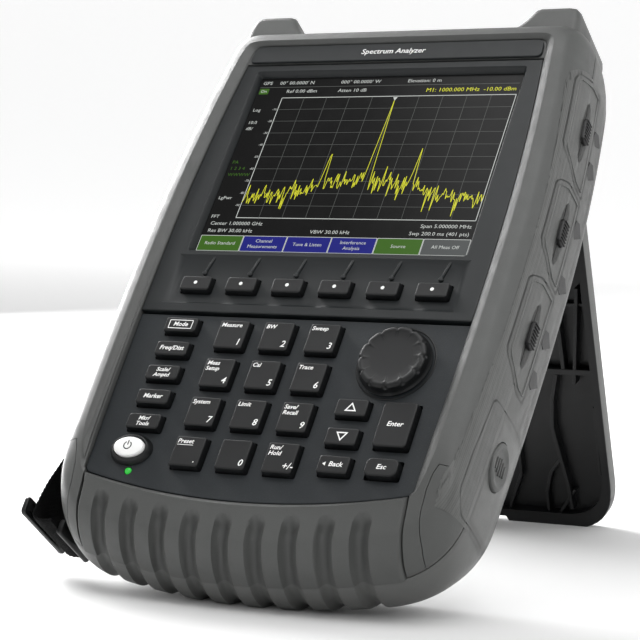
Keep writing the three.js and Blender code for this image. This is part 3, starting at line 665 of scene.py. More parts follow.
def add_front():
    bay = box_shape(-50, 50, 58, 100, -60, -13)
    mesh = carve(front_body(), *[("UNION", horn) for horn in horns()],
        ("INTERSECT", box_shape(-130, 130, -230, 100, -16, 40)), ("DIFFERENCE", cavity(-90, -3.5)),
        *face_opening(), ("DIFFERENCE", bay), ("DIFFERENCE", prism_x(panel_outline(0.3), PANEL_INNER - 0.3,
        130)), *[("DIFFERENCE", part) for part in bottom_region(0.3)], ("DIFFERENCE", pad_region(1, 0.3)),
        ("DIFFERENCE", pad_region(-1, 0.3)))
    finish_piece("front_shell", mesh, "root", ["front_housing"])
    for side, name in ((1, "right"), (-1, "left")):
        pad = carve(front_body(), ("INTERSECT", pad_region(side, 0)), ("DIFFERENCE", cavity(-90, 40)),
            *face_opening(), ("DIFFERENCE", prism_x(panel_outline(0.3), PANEL_INNER - 0.3, 130)))
        finish_piece(f"{name}_pad", pad, "root", [f"{name}_corner_pad"])


def add_grip():
    """The bottom grip: one section swept across, with nine flutes pressed in from below the face's edge."""
    outer = []
    for k in range(41):
        level = 9 - (9 - PARTING_LEVEL) * k / 40
        z, bottom = (smooth_through(CASE_LEVELS, level / 9, key) for key in (0, 3))
        outer.append((z, bottom))
    columns, half = 420, GRIP_HALF - 0.5
    rings = []
    for i in range(columns + 1):
        x = -half + 2 * half * i / columns
        drop = BASE_BOW * (x / 75) ** 2
        edge_y = grip_upper(x, 0)
        rounding = 1.5 * smoothstep(half - 1.5, half, abs(x)) ** 2
        skin = [(edge_y, 1.4), (edge_y - 0.15, 2.4), (edge_y - 0.7, 2.9)]
        skin += [(bottom + drop, lip(bottom + drop, z)) for z, bottom in outer]
        run, surface = 0, []
        for j, (y, z) in enumerate(skin):
            before, after = skin[max(0, j - 1)], skin[min(len(skin) - 1, j + 1)]
            run += math.dist(before, (y, z))
            along = Vector((after[0] - before[0], after[1] - before[1])).normalized()
            depth = flute_depth(x, run - 7) + rounding if j > 2 else 0
            surface.append((y + abs(along.y) * depth, z - abs(along.x) * depth))
        section = [(-172.3, -15.9), *surface[::-1], (edge_y, -5.2), (-172.3, -5.2)]
        rings.append([(x, y, z) for y, z in section])
    shape = rings_solid(Shape(), rings, "rubber")
    shape.faces = [face[::-1] for face in shape.faces]
    finish_piece("grip", shape.mesh("grip"), "root", ["bottom_grip"], sharp=40)


def add_rear():
    base = rings_solid(Shape(), case_loft(0, PARTING_LEVEL, 44, seams=(44,)), "shell")
    lug = [(HINGE_Y - 11, -50), (HINGE_Y - 5.6, HINGE_Z - 2), (HINGE_Y - 3, HINGE_Z - 5.2),
        (HINGE_Y, HINGE_Z - 5.8), (HINGE_Y + 3, HINGE_Z - 5.2), (HINGE_Y + 5.6, HINGE_Z - 2),
        (HINGE_Y + 5.6, -40), (HINGE_Y - 11, -40)]
    lugs = [("UNION", prism_x(lug, 66.6, 75, low_round=0.6, high_round=0.6)),
            ("UNION", prism_x(lug, -75, -66.6, low_round=0.6, high_round=0.6))]
    floor = Shape()
    slab(floor, [(-0.3, -0.4), (0.3, -0.4), (0.3, 0.4), (-0.3, 0.4)], -0.2, 0, "shell")
    floor = moved(floor, TO_DEVICE)
    ports = [("DIFFERENCE", prism_y([(z, x) for x, z in ellipse(side * PORT_X, PORT_Z, 8.6, 8.6)][::-1], 40,
        70)) for side in (1, -1)]
    groove = carve(slab(Shape(), rounded_rectangle(0, -62, 130, 198, 9), -70, -57.2, "shell"),
        ("DIFFERENCE", slab(Shape(), rounded_rectangle(0, -62, 128.4, 196.4, 8.2), -71, -50, "shell")))
    mesh = carve(base, *[("UNION", horn) for horn in horns()],
        ("INTERSECT", box_shape(-130, 130, -230, 100, -90, -16.3)), *lugs, ("DIFFERENCE", cavity(-55, 40)),
        ("DIFFERENCE", box_shape(-50, 50, 58, 100, -44, 0)), *ports,
        ("DIFFERENCE", prism_x(panel_outline(0.3), PANEL_INNER - 0.3, 130)),
        ("DIFFERENCE", box_shape(-130, -90, -176, 47, -91, -15)), ("DIFFERENCE", box_shape(*BATTERY_ROOM)),
        ("DIFFERENCE", prism_x(ellipse(HINGE_Y, HINGE_Z, 2.4, 2.4), -80, 80)),
        ("DIFFERENCE", as_shape(groove, "shell")), ("DIFFERENCE", floor))
    finish_piece("rear_shell", mesh, "root", ["rear_housing"])
    screws = Shape()
    for x, y in [(-56, 26), (56, 26), (-56, -150), (56, -150), (-56, -62), (56, -62)]:
        lathed(screws, [(3.1, -57), (3.1, -58.3), (2.6, -58.9), (1.2, -58.9), (1.1, -58.2), (0.4, -58.2)][::-1],
            x, y, "steel", 32)
    finish_piece("back_screws", screws.mesh("back_screws"), "root")


# ------------------------------------------------------------------ face
SOFT_FIRST, SOFT_PITCH = -56.2, 22.9
SCREEN_HALF_WIDTH, SCREEN_HALF_HEIGHT = 66.25, 49.7
THROUGH = (-10, 20)                     # heights of a cut right through the face


def holes_for(names, grow=0.5, corner=1.0):
    cuts = []
    for name in names:
        low, high = device_box(name)
        cuts.append(("DIFFERENCE", slab(Shape(), outline_of(low, high, corner, 2, grow), *THROUGH, "key")))
    return cuts


def add_bezel():
    """The screen's surround, with a sloped opening and a shallow trough for the soft keys."""
    outline = face_outline(0, low=GROOVE_Y + 0.5)
    plate = slab(Shape(), outline, -3, 3.2, "bezel", high_round=0.6)
    width, height = SCREEN_HALF_WIDTH, SCREEN_HALF_HEIGHT
    opening = Shape()
    rings_solid(opening, [rounded_ring(width + grow, height + grow, 0.6 + grow * 0.6, z)
        for z, grow in [(-10, 1.1), (0.1, 1.1), (0.1, 0.2), (0.5, 0.3), (2.5, 1.5), (3.05, 2.0), (4, 3.2)]],
        "bezel")
    trough = Shape()
    rings = []
    for z, side, low, high in [(2.0, 66.5, -77.6, -56.4), (2.35, 68.3, -78.6, -55.4), (3.3, 71.5, -80.2, -53.6),
            (5, 77, -83, -51)]:
        rings.append([(side, low, z), (side, high, z), (-side, high, z), (-side, low, z)])
    rings_solid(trough, rings, "bezel")
    keys = [f"soft_key_{i}" for i in range(1, 7)]
    mesh = carve(plate, ("DIFFERENCE", opening), ("DIFFERENCE", trough), *holes_for(keys))
    leads = Shape()
    for i in range(6):
        x = SOFT_FIRST + i * SOFT_PITCH
        line = [(x + 3.6, -53.2), (x + 1.2, -63.0)]
        slab(leads, ribbon(line, 1.3), 1.6, 2.75, "bezel", high_round=0.45, steps=3)
        lathed(leads, [(1.15, 1.6), (1.15, 2.6), (0.8, 2.95), (0.1, 3.0)], x + 1.1, -63.3, "bezel", 16)
    finish_piece("screen_surround", mesh, "root", ["bezel"], sharp=25)
    finish_piece("soft_key_leads", leads.mesh("leads"), "root")


def rounded_ring(half_width, half_height, corner, z):
    return [(x, y, z) for x, y in rounded_rectangle(0, 0, 2 * half_width, 2 * half_height, max(0.2, corner), 4)]


def add_keypad(names):
    plate = slab(Shape(), face_outline(0, high=GROOVE_Y - 0.5), -3, 1.6, "keypad", high_round=0.5)
    px, py, _ = middle_of("power_key")
    well = slab(Shape(), ellipse(px, py, 7.7, 5.1, 64), *THROUGH, "key")
    lx, ly, _ = middle_of("status_led")
    knob_x, knob_y, _ = middle_of("knob")
    mesh = carve(plate, ("DIFFERENCE", well), *holes_for(names, corner=0.9),
        ("DIFFERENCE", slab(Shape(), ellipse(lx, ly, 1.8, 1.8, 24), *THROUGH, "key")),
        ("DIFFERENCE", slab(Shape(), ellipse(knob_x, knob_y, 3.8, 3.8, 32), *THROUGH, "key")))
    finish_piece("keypad_face", mesh, "root", ["keypad_plate"], sharp=25)
    collar = rings_solid(Shape(), [[(x, y, z) for x, y in ellipse(px, py, 7.4 + grow, 4.8 + grow, 64)]
        for z, grow in [(-2, 2.7), (1.7, 2.7), (2.2, 2.4), (3.8, 1.9), (4.5, 1.3), (4.6, 0.9), (4.3, 0.4),
        (-2, 0.33)]], "key", closed=True)
    finish_piece("power_collar", collar.mesh("collar"), "root")
    edge = Shape()
    rings_solid(edge, [[(x, y, z) for x, y in ellipse(knob_x, knob_y, radius, radius, 96)]
        for radius, z in [(17.7, 1.5), (17.7, 1.85), (17.35, 2.0), (17.0, 1.85), (17.0, 1.5)]], "key",
        closed=True)
    finish_piece("knob_ring", edge.mesh("knob_ring"), "root")


def key_cap(name, corner):
    """A moulded key: straight sides and a rounded, slightly dished top."""
    low, high = device_box(name)
    x, y = (low[0] + high[0]) / 2, (low[1] + high[1]) / 2
    width, height = high[0] - low[0], high[1] - low[1]
    cap = Shape()
    levels = [(low[2], 0), (1.9, 0), (4.3, 0.2), (4.75, 0.32), (4.94, 0.52), (5.0, 0.85), (5.0, 1.1),
        (4.97, 2.6)]
    rings_solid(cap, [[(px, py, z) for px, py in rounded_rectangle(x, y, width - 2 * shrink,
        height - 2 * shrink, min(max(0.3, corner - shrink * 0.4), height * 0.45 - shrink), 5)]
        for z, shrink in levels], "key")
    return cap, x, y, width, height


def legend(shape, words, x, y, size, align="CENTER"):
    for k, line in enumerate(words.split("/n")):
        lettering(shape, line, x, y - k * size * 0.98, 4.98, size, "white", align, slant=0.18,
            weight=0.018 * size, stretch=1.05)


FUNCTION_WORDS = ["Mode", "Freq/Dist", "Scale//nAmptd", "Marker", "Mkr//nTools"]
DIGIT_WORDS = {
    "key_one": ("Measure", "1"), "key_two": ("BW", "2"), "key_three": ("Sweep", "3"),
        "key_four": ("Meas/nSetup", "4"),
    "key_five": ("Cal", "5"), "key_six": ("Trace", "6"), "key_seven": ("System", "7"),
        "key_eight": ("Limit", "8"),
    "key_nine": ("Save//nRecall", "9"), "key_point": ("Preset", "."), "key_zero": ("", "0"),
        "key_sign": ("Run//nHold", "+/-"),
}


def add_keys():
    for i in range(1, 7):
        cap, x, y, _, _ = key_cap(f"soft_key_{i}", 1.0)
        slab(cap, ellipse(x, y + 0.2, 0.85, 0.85, 20), 4.6, 4.98, "white")
        finish_piece(f"cap_soft_{i}", cap.mesh("cap"), f"soft_key_{i}", [f"soft_key_{i}"])
    for i, words in enumerate(FUNCTION_WORDS, 1):
        name = f"function_key_{i}"
        cap, x, y, _, _ = key_cap(name, 1.2)
        rows = words.count("/n")
        legend(cap, words, x, y + (1.15 if rows else 0), 2.7 if rows else 3.0)
        if words == "Mode":
            outer = rounded_rectangle(x, y, 11.8, 4.5, 0.4, 3)
            inner = rounded_rectangle(x, y, 11.1, 3.8, 0.3, 3)
            frame_ring(cap, outer, inner, 4.9, 5.02)
        finish_piece(f"cap_{name}", cap.mesh("cap"), name, [name])
    for name, (words, digit) in DIGIT_WORDS.items():
        cap, x, y, width, height = key_cap(name, 0.9)
        if words == "Preset":
            underline = rounded_rectangle(x - width / 2 + 5.1, y + height / 2 - 4.3, 7.8, 0.25, 0.1, 1)
            slab(cap, underline, 4.9, 5.03, "white")
        if words:
            legend(cap, words, x - width / 2 + 1.1, y + height / 2 - 2.6, 2.8, "LEFT")
        lettering(cap, digit, x + width / 2 - 2.6, y - height / 2 + 3.3, 4.98, 4.4, "white", slant=0.16,
            weight=0.04)
        finish_piece(f"cap_{name}", cap.mesh("cap"), name, [name])
    for name, words, corner in [("up_key", None, 0.9), ("down_key", None, 0.9), ("enter_key", "Enter", 1.6),
            ("back_key", "Back", 0.9), ("escape_key", "Esc", 2.6)]:
        cap, x, y, width, height = key_cap(name, corner)
        if words:
            legend(cap, words, x + (1.0 if words == "Back" else 0), y, 3.1)
            if words == "Back":
                slab(cap, [(x - 4.9, y), (x - 3.5, y - 0.9), (x - 3.5, y + 0.9)], 4.9, 5.02, "white")
        else:
            way = 1 if name == "up_key" else -1
            outer = [(x - 2.7, y - 1.9 * way), (x + 2.7, y - 1.9 * way), (x, y + 2.3 * way)]
            inner = [(x - 1.7, y - 1.35 * way), (x + 1.7, y - 1.35 * way), (x, y + 1.3 * way)]
            if way < 0:
                outer, inner = outer[::-1], inner[::-1]
            frame_ring(cap, outer, inner, 4.9, 5.02)
        finish_piece(f"cap_{name}", cap.mesh("cap"), name, [name])


def frame_ring(shape, outer, inner, low, high, look="white"):
    """A raised outline between two loops of equal length."""
    rings = [[(x, y, z) for x, y in loop] for loop, z in [(outer, low), (outer, high), (inner, high),
        (inner, low)]]
    rings_solid(shape, rings, look, closed=True)


def add_power():
    x, y, _ = middle_of("power_key")
    button = Shape()
    rings_solid(button, [[(px, py, z) for px, py in ellipse(x, y, 7.35 - shrink, 4.75 - shrink, 64)]
        for z, shrink in [(-2.6, 0), (4.6, 0), (5.4, 0.35), (5.85, 1.1), (6.0, 2.2), (6.02, 3.6)]], "white")
    arc = [(x + 1.75 * math.sin(a), y + 1.75 * math.cos(a))
           for a in (math.radians(32 + 296 * i / 28) for i in range(29))]
    slab(button, ribbon(arc, 0.5)[::-1], 5.8, 6.07, "key")
    slab(button, [(x - 0.25, y + 0.2), (x + 0.25, y + 0.2), (x + 0.25, y + 2.4), (x - 0.25, y + 2.4)], 5.8,
        6.07, "key")
    finish_piece("power_button", button.mesh("power"), "power_key", ["power_key"])
    lx, ly, _ = middle_of("status_led")
    lamp = lathed(Shape(), [(1.5, -2.6), (1.5, 1.5), (1.25, 1.95), (0.7, 2.15), (0.1, 2.2)], lx, ly, "led", 24)
    finish_piece("lamp", lamp.mesh("lamp"), "root", ["status_led"])


def add_knob():
    x, y, _ = middle_of("knob")

    def edge(angle, radius, z):
        if z < 6 or radius < 12.2:
            return radius
        near = (angle * 12 / (2 * math.pi) + 0.35) % 1 - 0.5
        return radius - 0.9 * math.exp(-(near / 0.1) ** 2)

    profile = [(3.3, 6.4), (3.3, 2.2), (16.1, 2.2), (16.2, 2.7), (15.7, 3.3), (15.35, 4.4), (15.25, 5.6),
        (15.2, 6.2), (15.0, 6.9), (14.6, 7.35), (14.0, 7.6), (13.3, 7.66), (12.7, 7.5), (12.0, 7.36), (9, 7.2),
        (5, 7.12), (0.2, 7.1)]
    cap = lathed(Shape(), profile, x, y, "key", 240, edge)
    finish_piece("tuning_knob", cap.mesh("knob"), "knob", ["knob"], sharp=40)


# ------------------------------------------------------------------ screen
def add_screen():
    glass = slab(Shape(), rounded_rectangle(0, 0, 2 * SCREEN_HALF_WIDTH + 1.4, 2 * SCREEN_HALF_HEIGHT + 1.4,
        0.4, 2), -2.4, 0, "ui_back")
    lift = 0.02
    left, right, low, high = -52, 65.4, -31, 38.2

    def line(x0, y0, x1, y1, width, look, z=lift):
        slab(glass, ribbon([(x0, y0), (x1, y1)], width), z - 0.01, z, look)

    def words(text, x, y, size, look="ui_text", align="LEFT", stretch=1.1):
        lettering(glass, text, x, y, lift + 0.02, size, look, align, stretch=stretch, depth=0)

    for i in range(11):
        width, look = (0.35, "ui_text") if i in (0, 10) else (0.2, "ui_grid")
        x, y = left + (right - left) * i / 10, low + (high - low) * i / 10
        line(x, low, x, high, width, look)
        line(left, y, right, y, width, look)
    points, count = [], 301
    for i in range(count):
        u = i / (count - 1)
        level = 0.16 + 0.16 * math.exp(-((u - 0.5) / 0.28) ** 2) + random_source.gauss(0, 0.036)
        if random_source.random() < 0.05:
            level -= random_source.uniform(0.05, 0.17)
        for centre, peak, fall in ((0.5, 0.965, 45), (0.315, 0.56, 28), (0.69, 0.56, 28)):
            level = max(level, peak - abs(u - centre) * fall + random_source.gauss(0, 0.006))
        points.append((left + (right - left) * u, low + (high - low) * max(0.01, level)))
    for (x0, y0), (x1, y1) in zip(points, points[1:]):
        along = Vector((x1 - x0, y1 - y0)).normalized() * 0.15
        corners = [(x0 - along.y, y0 + along.x), (x0 + along.y, y0 - along.x), (x1 + along.y, y1 - along.x),
            (x1 - along.y, y1 + along.x)]
        glass.add([(x, y, lift + 0.01) for x, y in corners], [[0, 1, 2, 3]], "ui_trace")
    peak_x = (left + right) / 2
    slab(glass, [(peak_x - 1.1, 37.6), (peak_x, 35.6), (peak_x + 1.1, 37.6)], lift, lift + 0.02, "ui_text")
    line(-SCREEN_HALF_WIDTH + 0.4, 44.6, right, 44.6, 0.25, "ui_grid")
    words("GPS", -65, 47.0, 2.7, "ui_text")
    words("00° 00.0000' N", -56, 47.0, 2.7)
    words("000° 00.0000' W", -24, 47.0, 2.7)
    words("Elevation: 0 m", 10, 47.0, 2.7)
    words("Ref 0.00 dBm", -51, 42.0, 2.7)
    words("Atten 10 dB", -24, 42.0, 2.7)
    words("M1: 1000.000 MHz  -10.00 dBm", 64.8, 41.4, 3.1, "ui_trace", "RIGHT")
    slab(glass, rounded_rectangle(-63, 42.2, 5, 3.4, 0.4, 2), lift - 0.01, lift, "ui_green")
    words("On", -64.8, 42.2, 2.3)
    for text, y, look in [("Log", 31, "ui_text"), ("10.0", 23.6, "ui_text"), ("dB/", 20, "ui_text"),
            ("PA", 0.4, "ui_green"), ("1 2 3 4", -3.2, "ui_green"), ("WWWW", -6.8, "ui_green"),
            ("LgPwr", -20, "ui_text"), ("FFT", -30.5, "ui_text")]:
        words(text, -65, y, 2.5, look)
    for i in range(9):
        words(f"-{10 * (i + 1)}", -52.6, high - (high - low) * (i + 1) / 10, 1.7, "ui_text", "RIGHT", 1)
    words("Center 1.000000 GHz", -64, -34.3, 2.7)
    words("Res BW 30.00 kHz", -64, -38.3, 2.7)
    words("VBW 30.00 kHz", -12, -38.3, 2.7)
    words("Span 5.000000 MHz", 64.5, -34.3, 2.7, "ui_text", "RIGHT")
    words("Swp 200.0 ms (401 pts)", 64.5, -38.3, 2.7, "ui_text", "RIGHT")
    labels = [("Radio Standard", "ui_green"), ("Channel/nMeasurements", "ui_blue"),
        ("Tune & Listen", "ui_blue"), ("Interference/nAnalysis", "ui_blue"), ("Source", "ui_green"),
        ("All Meas Off", "ui_grey")]
    step = 2 * SCREEN_HALF_WIDTH / 6
    for i, (text, look) in enumerate(labels):
        x = -SCREEN_HALF_WIDTH + step * (i + 0.5)
        slab(glass, rounded_rectangle(x, -45.2, step - 0.35, 8.4, 0.3, 2), lift - 0.01, lift, look)
        frame_ring(glass, rounded_rectangle(x, -45.2, step - 0.1, 8.6, 0.3, 2),
            rounded_rectangle(x, -45.2, step - 0.6, 8.1, 0.3, 2), lift, lift + 0.02, "ui_text")
        rows = text.split("/n")
        for k, row in enumerate(rows):
            lettering(glass, row, x, -45.2 + (1.5 if len(rows) > 1 else 0) - 3.0 * k, lift + 0.03, 2.5,
                "ui_text", stretch=1.02, depth=0)
    finish_piece("display", glass.mesh("display"), "root", ["screen_window"])
    label = slab(Shape(), face_top_plate(), 3.4, 4.5, "bezel", high_round=0.4)
    lettering(label, "Spectrum Analyzer", 0, 61.1, 4.55, 4.0, "white", slant=0.12, weight=0.02, stretch=1.05)
    finish_piece("label", label.mesh("label"), "root", ["label_plate"])


def face_top_plate():
    low, high = 56.2, 65.9
    foot, edge = half_face(low) - 0.7, half_face(high) - 0.6
    right = [(0, low)] + bezier((foot - 3, low), (foot, low), (half_face(low + 3) - 0.7, low + 3), 8)
    right += bezier((half_face(high - 3.5) - 0.6, high - 3.5), (edge, high), (edge - 3.5, high), 8)
    right.append((0, high))
    return right + [(-x, y) for x, y in reversed(right) if x > 1e-6]


# ------------------------------------------------------------------ right side
SIDE_CURVE = [tuple(smooth_through(CASE_LEVELS, i / 200, key) for key in (0, 1)) for i in range(201)]


def side_x(y):
    return 97.5 - side_bow(y)


def hinge_frame(low, high, back=DOOR_BACK):
    """A door's own frame: origin on the hinge line at its foot, y along the hinge, x outwards."""
    low_x, high_x = side_x(low) - DOOR_INSET, side_x(high) - DOOR_INSET
    turn = math.atan2(low_x - high_x, high - low)
    matrix = Matrix.Translation((low_x, low, back)) @ Matrix.Rotation(turn, 4, "Z")
    return matrix, math.hypot(high_x - low_x, high - low)


def softened(corners, radius=1.6, arc=4):
    """Rounds each corner of an anticlockwise outline with a short curve."""
    points = []
    for i, corner in enumerate(corners):
        before, after, here = Vector(corners[i - 1]), Vector(corners[(i + 1) % len(corners)]), Vector(corner)
        reach = min(radius, (before - here).length * 0.45, (after - here).length * 0.45)
        a, b = here + (before - here).normalized() * reach, here + (after - here).normalized() * reach
        points += bezier(a, here, b, arc)
    return points


def door_corners(length, depth, cut_top, cut_low, grow=0.0):
    return [(-grow, -grow), (length + grow, -grow), (length + grow, depth - cut_top),
        (length - cut_top * 0.35, depth - 2 + grow), (length - cut_top * 0.6, depth + grow),
        (cut_low, depth + grow), (cut_low - 3, depth - 2 + grow), (-grow, depth - cut_low * 1.4)]


def battery_corners(length, depth, grow=0.0):
    return [(3 - grow, -grow), (length + grow, -grow), (length + grow, depth - 2 + grow),
        (length / 2, depth + grow), (8, depth + grow), (-grow, depth - 6), (-grow, 4 - grow)]


def pocket_for(corners, matrix, depth, length):
    pocket = prism_x(softened(corners, 2.2, 6), -depth, 30, "black")
    hinge = prism_x([(-0.5, -1.2), (length + 0.5, -1.2), (length + 0.5, 1), (-0.5, 1)], -depth, 30, "shell")
    return [("DIFFERENCE", moved(pocket, matrix)), ("DIFFERENCE", moved(hinge, matrix))]


def lens(centre, half_length, half_width, depth, count=24):
    """A long shallow scoop lying along y, cut from above."""
    x, y, z = centre
    rings = []
    for k in range(count + 1):
        a = -math.pi / 2 + math.pi * k / count
        size = max(0.02, math.cos(a))
        rings.append([(x + depth * size * math.cos(b), y + half_length * math.sin(a),
            z + half_width * size * math.sin(b)) for b in (2 * math.pi * i / 28 for i in range(28))])
    shape = rings_solid(Shape(), rings, "shell")
    shape.faces = [face[::-1] for face in shape.faces]
    return shape


def ribbed_tab(shape, centre, half_length, half_width, height, count):
    x, y, z = centre
    outline = rounded_rectangle(y, z, 2 * half_length, 2 * half_width, min(half_width, half_length) * 0.6, 5)
    side_slab(shape, outline, x - 1.6, x + height, "black", high_round=0.7, steps=3)
    for k in range(count):
        at = y - half_length + 2 * half_length * (k + 0.75) / (count + 0.5)
        outline = rounded_rectangle(at, z, half_length * 0.9 / count, 2 * half_width * 0.9, 0.2, 2)
        side_slab(shape, outline, x, x + height + 0.55, "black", high_round=0.25, steps=2)


def add_side():
    base = rings_solid(Shape(), case_loft(0.4, 8.2, 90), "shell")
    cuts = [("INTERSECT", prism_x(panel_outline(0), PANEL_INNER, 130))]
    for _, low, high, front, cut_top, cut_low in DOORS:
        matrix, length = hinge_frame(low, high)
        corners = door_corners(length, front - DOOR_BACK, cut_top, cut_low, SEAM)
        cuts += pocket_for(corners, matrix, DOOR_POCKET, length)
    matrix, length = hinge_frame(BATTERY_LOW, BATTERY_HIGH, BATTERY_BACK)
    cuts += pocket_for(battery_corners(length, BATTERY_FRONT - BATTERY_BACK, 0.5), matrix, 5.8, length)
    cuts.append(("DIFFERENCE", box_shape(*BATTERY_ROOM)))
    knuckles, notch_shade_fill = Shape(), Shape()
    for k, (low, high) in enumerate([(34, 41), (15, 24), (-17, -8), (-46, -37), (-74, -65), (-94, -85)]):
        middle = (low + high) / 2
        notch = [(low, -31.5), (middle, -37.3), (high, -32.5), (high - 1, -28.7), (middle, -28.2),
            (low + 0.8, -28.7)]
        cuts.append(("DIFFERENCE", prism_x(notch, 92.5, 120, "black")))
        # A black plug fills each notch to just under the surface: painted shade standing in for the dark of the
        # open notch.
        side_slab(notch_shade_fill, notch, 92.5, side_x(middle) - 0.1, "black")
        if k % 2 == 0:
            side_slab(knuckles, [(middle - 2.4, -35.6), (middle + 0.4, -35.6), (middle + 1.6, -29.4),
                (middle - 1.2, -29.4)], 91, side_x(middle) - 0.5, "shell", high_round=0.4, steps=2)
    for seam, foot in ((-38.4, -108), (-46.2, -165)):
        cuts.append(("DIFFERENCE", prism_x([(foot, seam - 0.3), (56, seam - 0.3), (56, seam + 0.3),
            (foot, seam + 0.3)], 92.6, 120, "black")))
    mesh = carve(base, *cuts)
    finish_piece("side_cover", mesh, "root", ["side_panel"])
    finish_piece("hinge_knuckles", knuckles.mesh("knuckles"), "root")
    finish_piece("hinge_notch_shade", notch_shade_fill.mesh("notch_shade_mesh"), "root")


def case_x(y, z):
    """The right side's surface at y and z."""
    for (z0, half0), (z1, half1) in zip(SIDE_CURVE, SIDE_CURVE[1:]):
        if z0 <= z <= z1:
            return half0 + (half1 - half0) * (z - z0) / (z1 - z0) - side_bow(y)
    return side_x(y)


def surface_line(shape, outline, matrix, distance, width, base, height, look="shell"):
    """A fine line that follows the case's surface, round an outline drawn in a door's own frame."""
    def on_surface(loop, rise):
        points = (matrix @ Vector((0, y, z)) for y, z in loop)
        return [(case_x(p.y, p.z) + rise, p.y, p.z) for p in points]

    rings = [on_surface(inset(outline, distance + width * share), rise)
        for share, rise in [(0, base), (0.3, height), (0.7, height), (1, base)]]
    rings_solid(shape, rings, look, closed=True)


def add_doors():
    case = rings_solid(Shape(), case_loft(0.4, 8.2, 90), "shell")
    seams = Shape()
    for name, low, high, front, cut_top, cut_low in DOORS:
        matrix, length = hinge_frame(low, high)
        outline = softened(door_corners(length, front - DOOR_BACK, cut_top, cut_low), 2.2, 6)
        middle = length / 2
        leaf = moved(prism_x(outline, -DOOR_THICKNESS, 4), matrix)
        scoop = moved(lens((1.5, middle, TAB_REACH), 17, 4.4, 3.0), matrix)
        whole = as_shape(carve(leaf, ("INTERSECT", case), ("DIFFERENCE", scoop)), "shell")
        surface_line(whole, outline, matrix, 1.6, 0.8, -0.4, 0.45)
        # A black ring fills the seam round each door below the surface: painted shade in the gap.
        surface_line(seams, outline, matrix, 0.02 - SEAM, SEAM - 0.08, -2.6, -0.35, "black")
        tab = Shape()
        ribbed_tab(tab, (0.1, middle, TAB_REACH), 6.2, 2.9, 2.3, 7)
        finish_piece(f"leaf_{name}", whole.mesh(name), name, [name])
        finish_piece(f"tab_{name}", moved(tab, matrix).mesh(name), name)
    finish_piece("door_seam_shade", seams.mesh("seams"), "root")


def add_battery_door():
    matrix, length = hinge_frame(BATTERY_LOW, BATTERY_HIGH, BATTERY_BACK)
    corners = softened(battery_corners(length, BATTERY_FRONT - BATTERY_BACK), 3)
    leaf = moved(prism_x(corners, -BATTERY_DEPTH, 4), matrix)
    case = rings_solid(Shape(), case_loft(0.4, 8.2, 90), "shell")
    y, z = LATCH_Y, LATCH_Z
    hole = prism_x(ellipse(y, z, 10.9, 8.9, 64), 80, 110, "shell")
    mesh = carve(leaf, ("INTERSECT", case), ("DIFFERENCE", hole))
    finish_piece("battery_leaf", mesh, "battery_door", ["battery_door"])
    button = Shape()
    rings_solid(button, [[(x, py, pz) for py, pz in ellipse(y, z, 10.6 - shrink, 8.6 - shrink, 64)]
        for x, shrink in [(91.8, 0), (95.6, 0), (96.3, 0.3), (96.7, 0.9), (96.8, 2), (96.2, 3.2), (96.0, 4.5)]],
        "rubber")
    for k in range(-2, 3):
        side_slab(button, rounded_rectangle(y, z + k * 2.1, 8.0 - abs(k) * 1.4, 0.8, 0.3, 2), 95.5, 96.7,
            "rubber", high_round=0.25, steps=2)
    finish_piece("battery_button", button.mesh("button"), "battery_latch", ["battery_latch"])


# ------------------------------------------------------------------ top, strap and stand
def add_ports():
    for name, side in (("left", -1), ("right", 1)):
        port = Shape()
        x, z = side * PORT_X, PORT_Z
        hexagon = [(z + 9.9 * math.cos(math.radians(60 * i + 30)),
            x + 9.9 * math.sin(math.radians(60 * i + 30))) for i in range(6)]
        slab(port, softened(hexagon, 1.2, 3), 58.3, 61.4, "steel", high_round=0.5,
            lift=lambda a, b, c: (b, c, a), steps=3)
        profile = [(7.9, 50.4), (7.9, 62.5)]
        threads = 10
        for k in range(threads * 6):
            profile.append((7.75 - 0.35 * abs(math.sin(math.pi * k / 6)), 63 + 13.5 * k / (threads * 6)))
        profile += [(7.7, 77), (7.3, 78.5), (6.2, 78.5), (6.1, 71), (3.2, 71)]
        insulator = [(5.2, 70.5), (5.2, 73.4), (1.7, 73.4), (1.7, 71.6)]
        contact = [(1.1, 71), (1.1, 75.6), (0.7, 76.2), (0.1, 76.4)]
        for section, count, look in [(profile, 64, "steel"), (insulator, 48, "insulator"),
                (contact, 24, "gold")]:
            rings_solid(port, [[(x + r * math.sin(a), y, z + r * math.cos(a))
                for a in (2 * math.pi * i / count for i in range(count))] for r, y in section], look)
        finish_piece(f"{name}_connector", port.mesh("port"), "root", [f"{name}_rf_port"])


STRAP_PATH = [
    (-95.4, 50), (-98.4, 40), (-99.6, 20), (-99.8, -30), (-99.4, -90), (-98.2, -130), (-98, -147),
        (-100.2, -157),
    (-102.6, -166), (-103.8, -176), (-103.4, -182.6), (-99.4, -184.4), (-93.8, -184),
]
STRAP_BACK, STRAP_FRONT, STRAP_THICKNESS = -44, -11, 1.6


def strap_line(count):
    """Even steps along the webbing's middle line, with the direction at each."""
    dense = []
    for i in range(1200):
        u = i / 1199
        dense.append(tuple(smooth_through(STRAP_PATH, u, k) for k in (0, 1)))
    runs = [0]
    for a, b in zip(dense, dense[1:]):
        runs.append(runs[-1] + math.dist(a, b))
    points, j = [], 0
    for i in range(count + 1):
        goal = runs[-1] * i / count
        while j < len(runs) - 2 and runs[j + 1] < goal:
            j += 1
        points.append(dense[j])
    return points, runs[-1]


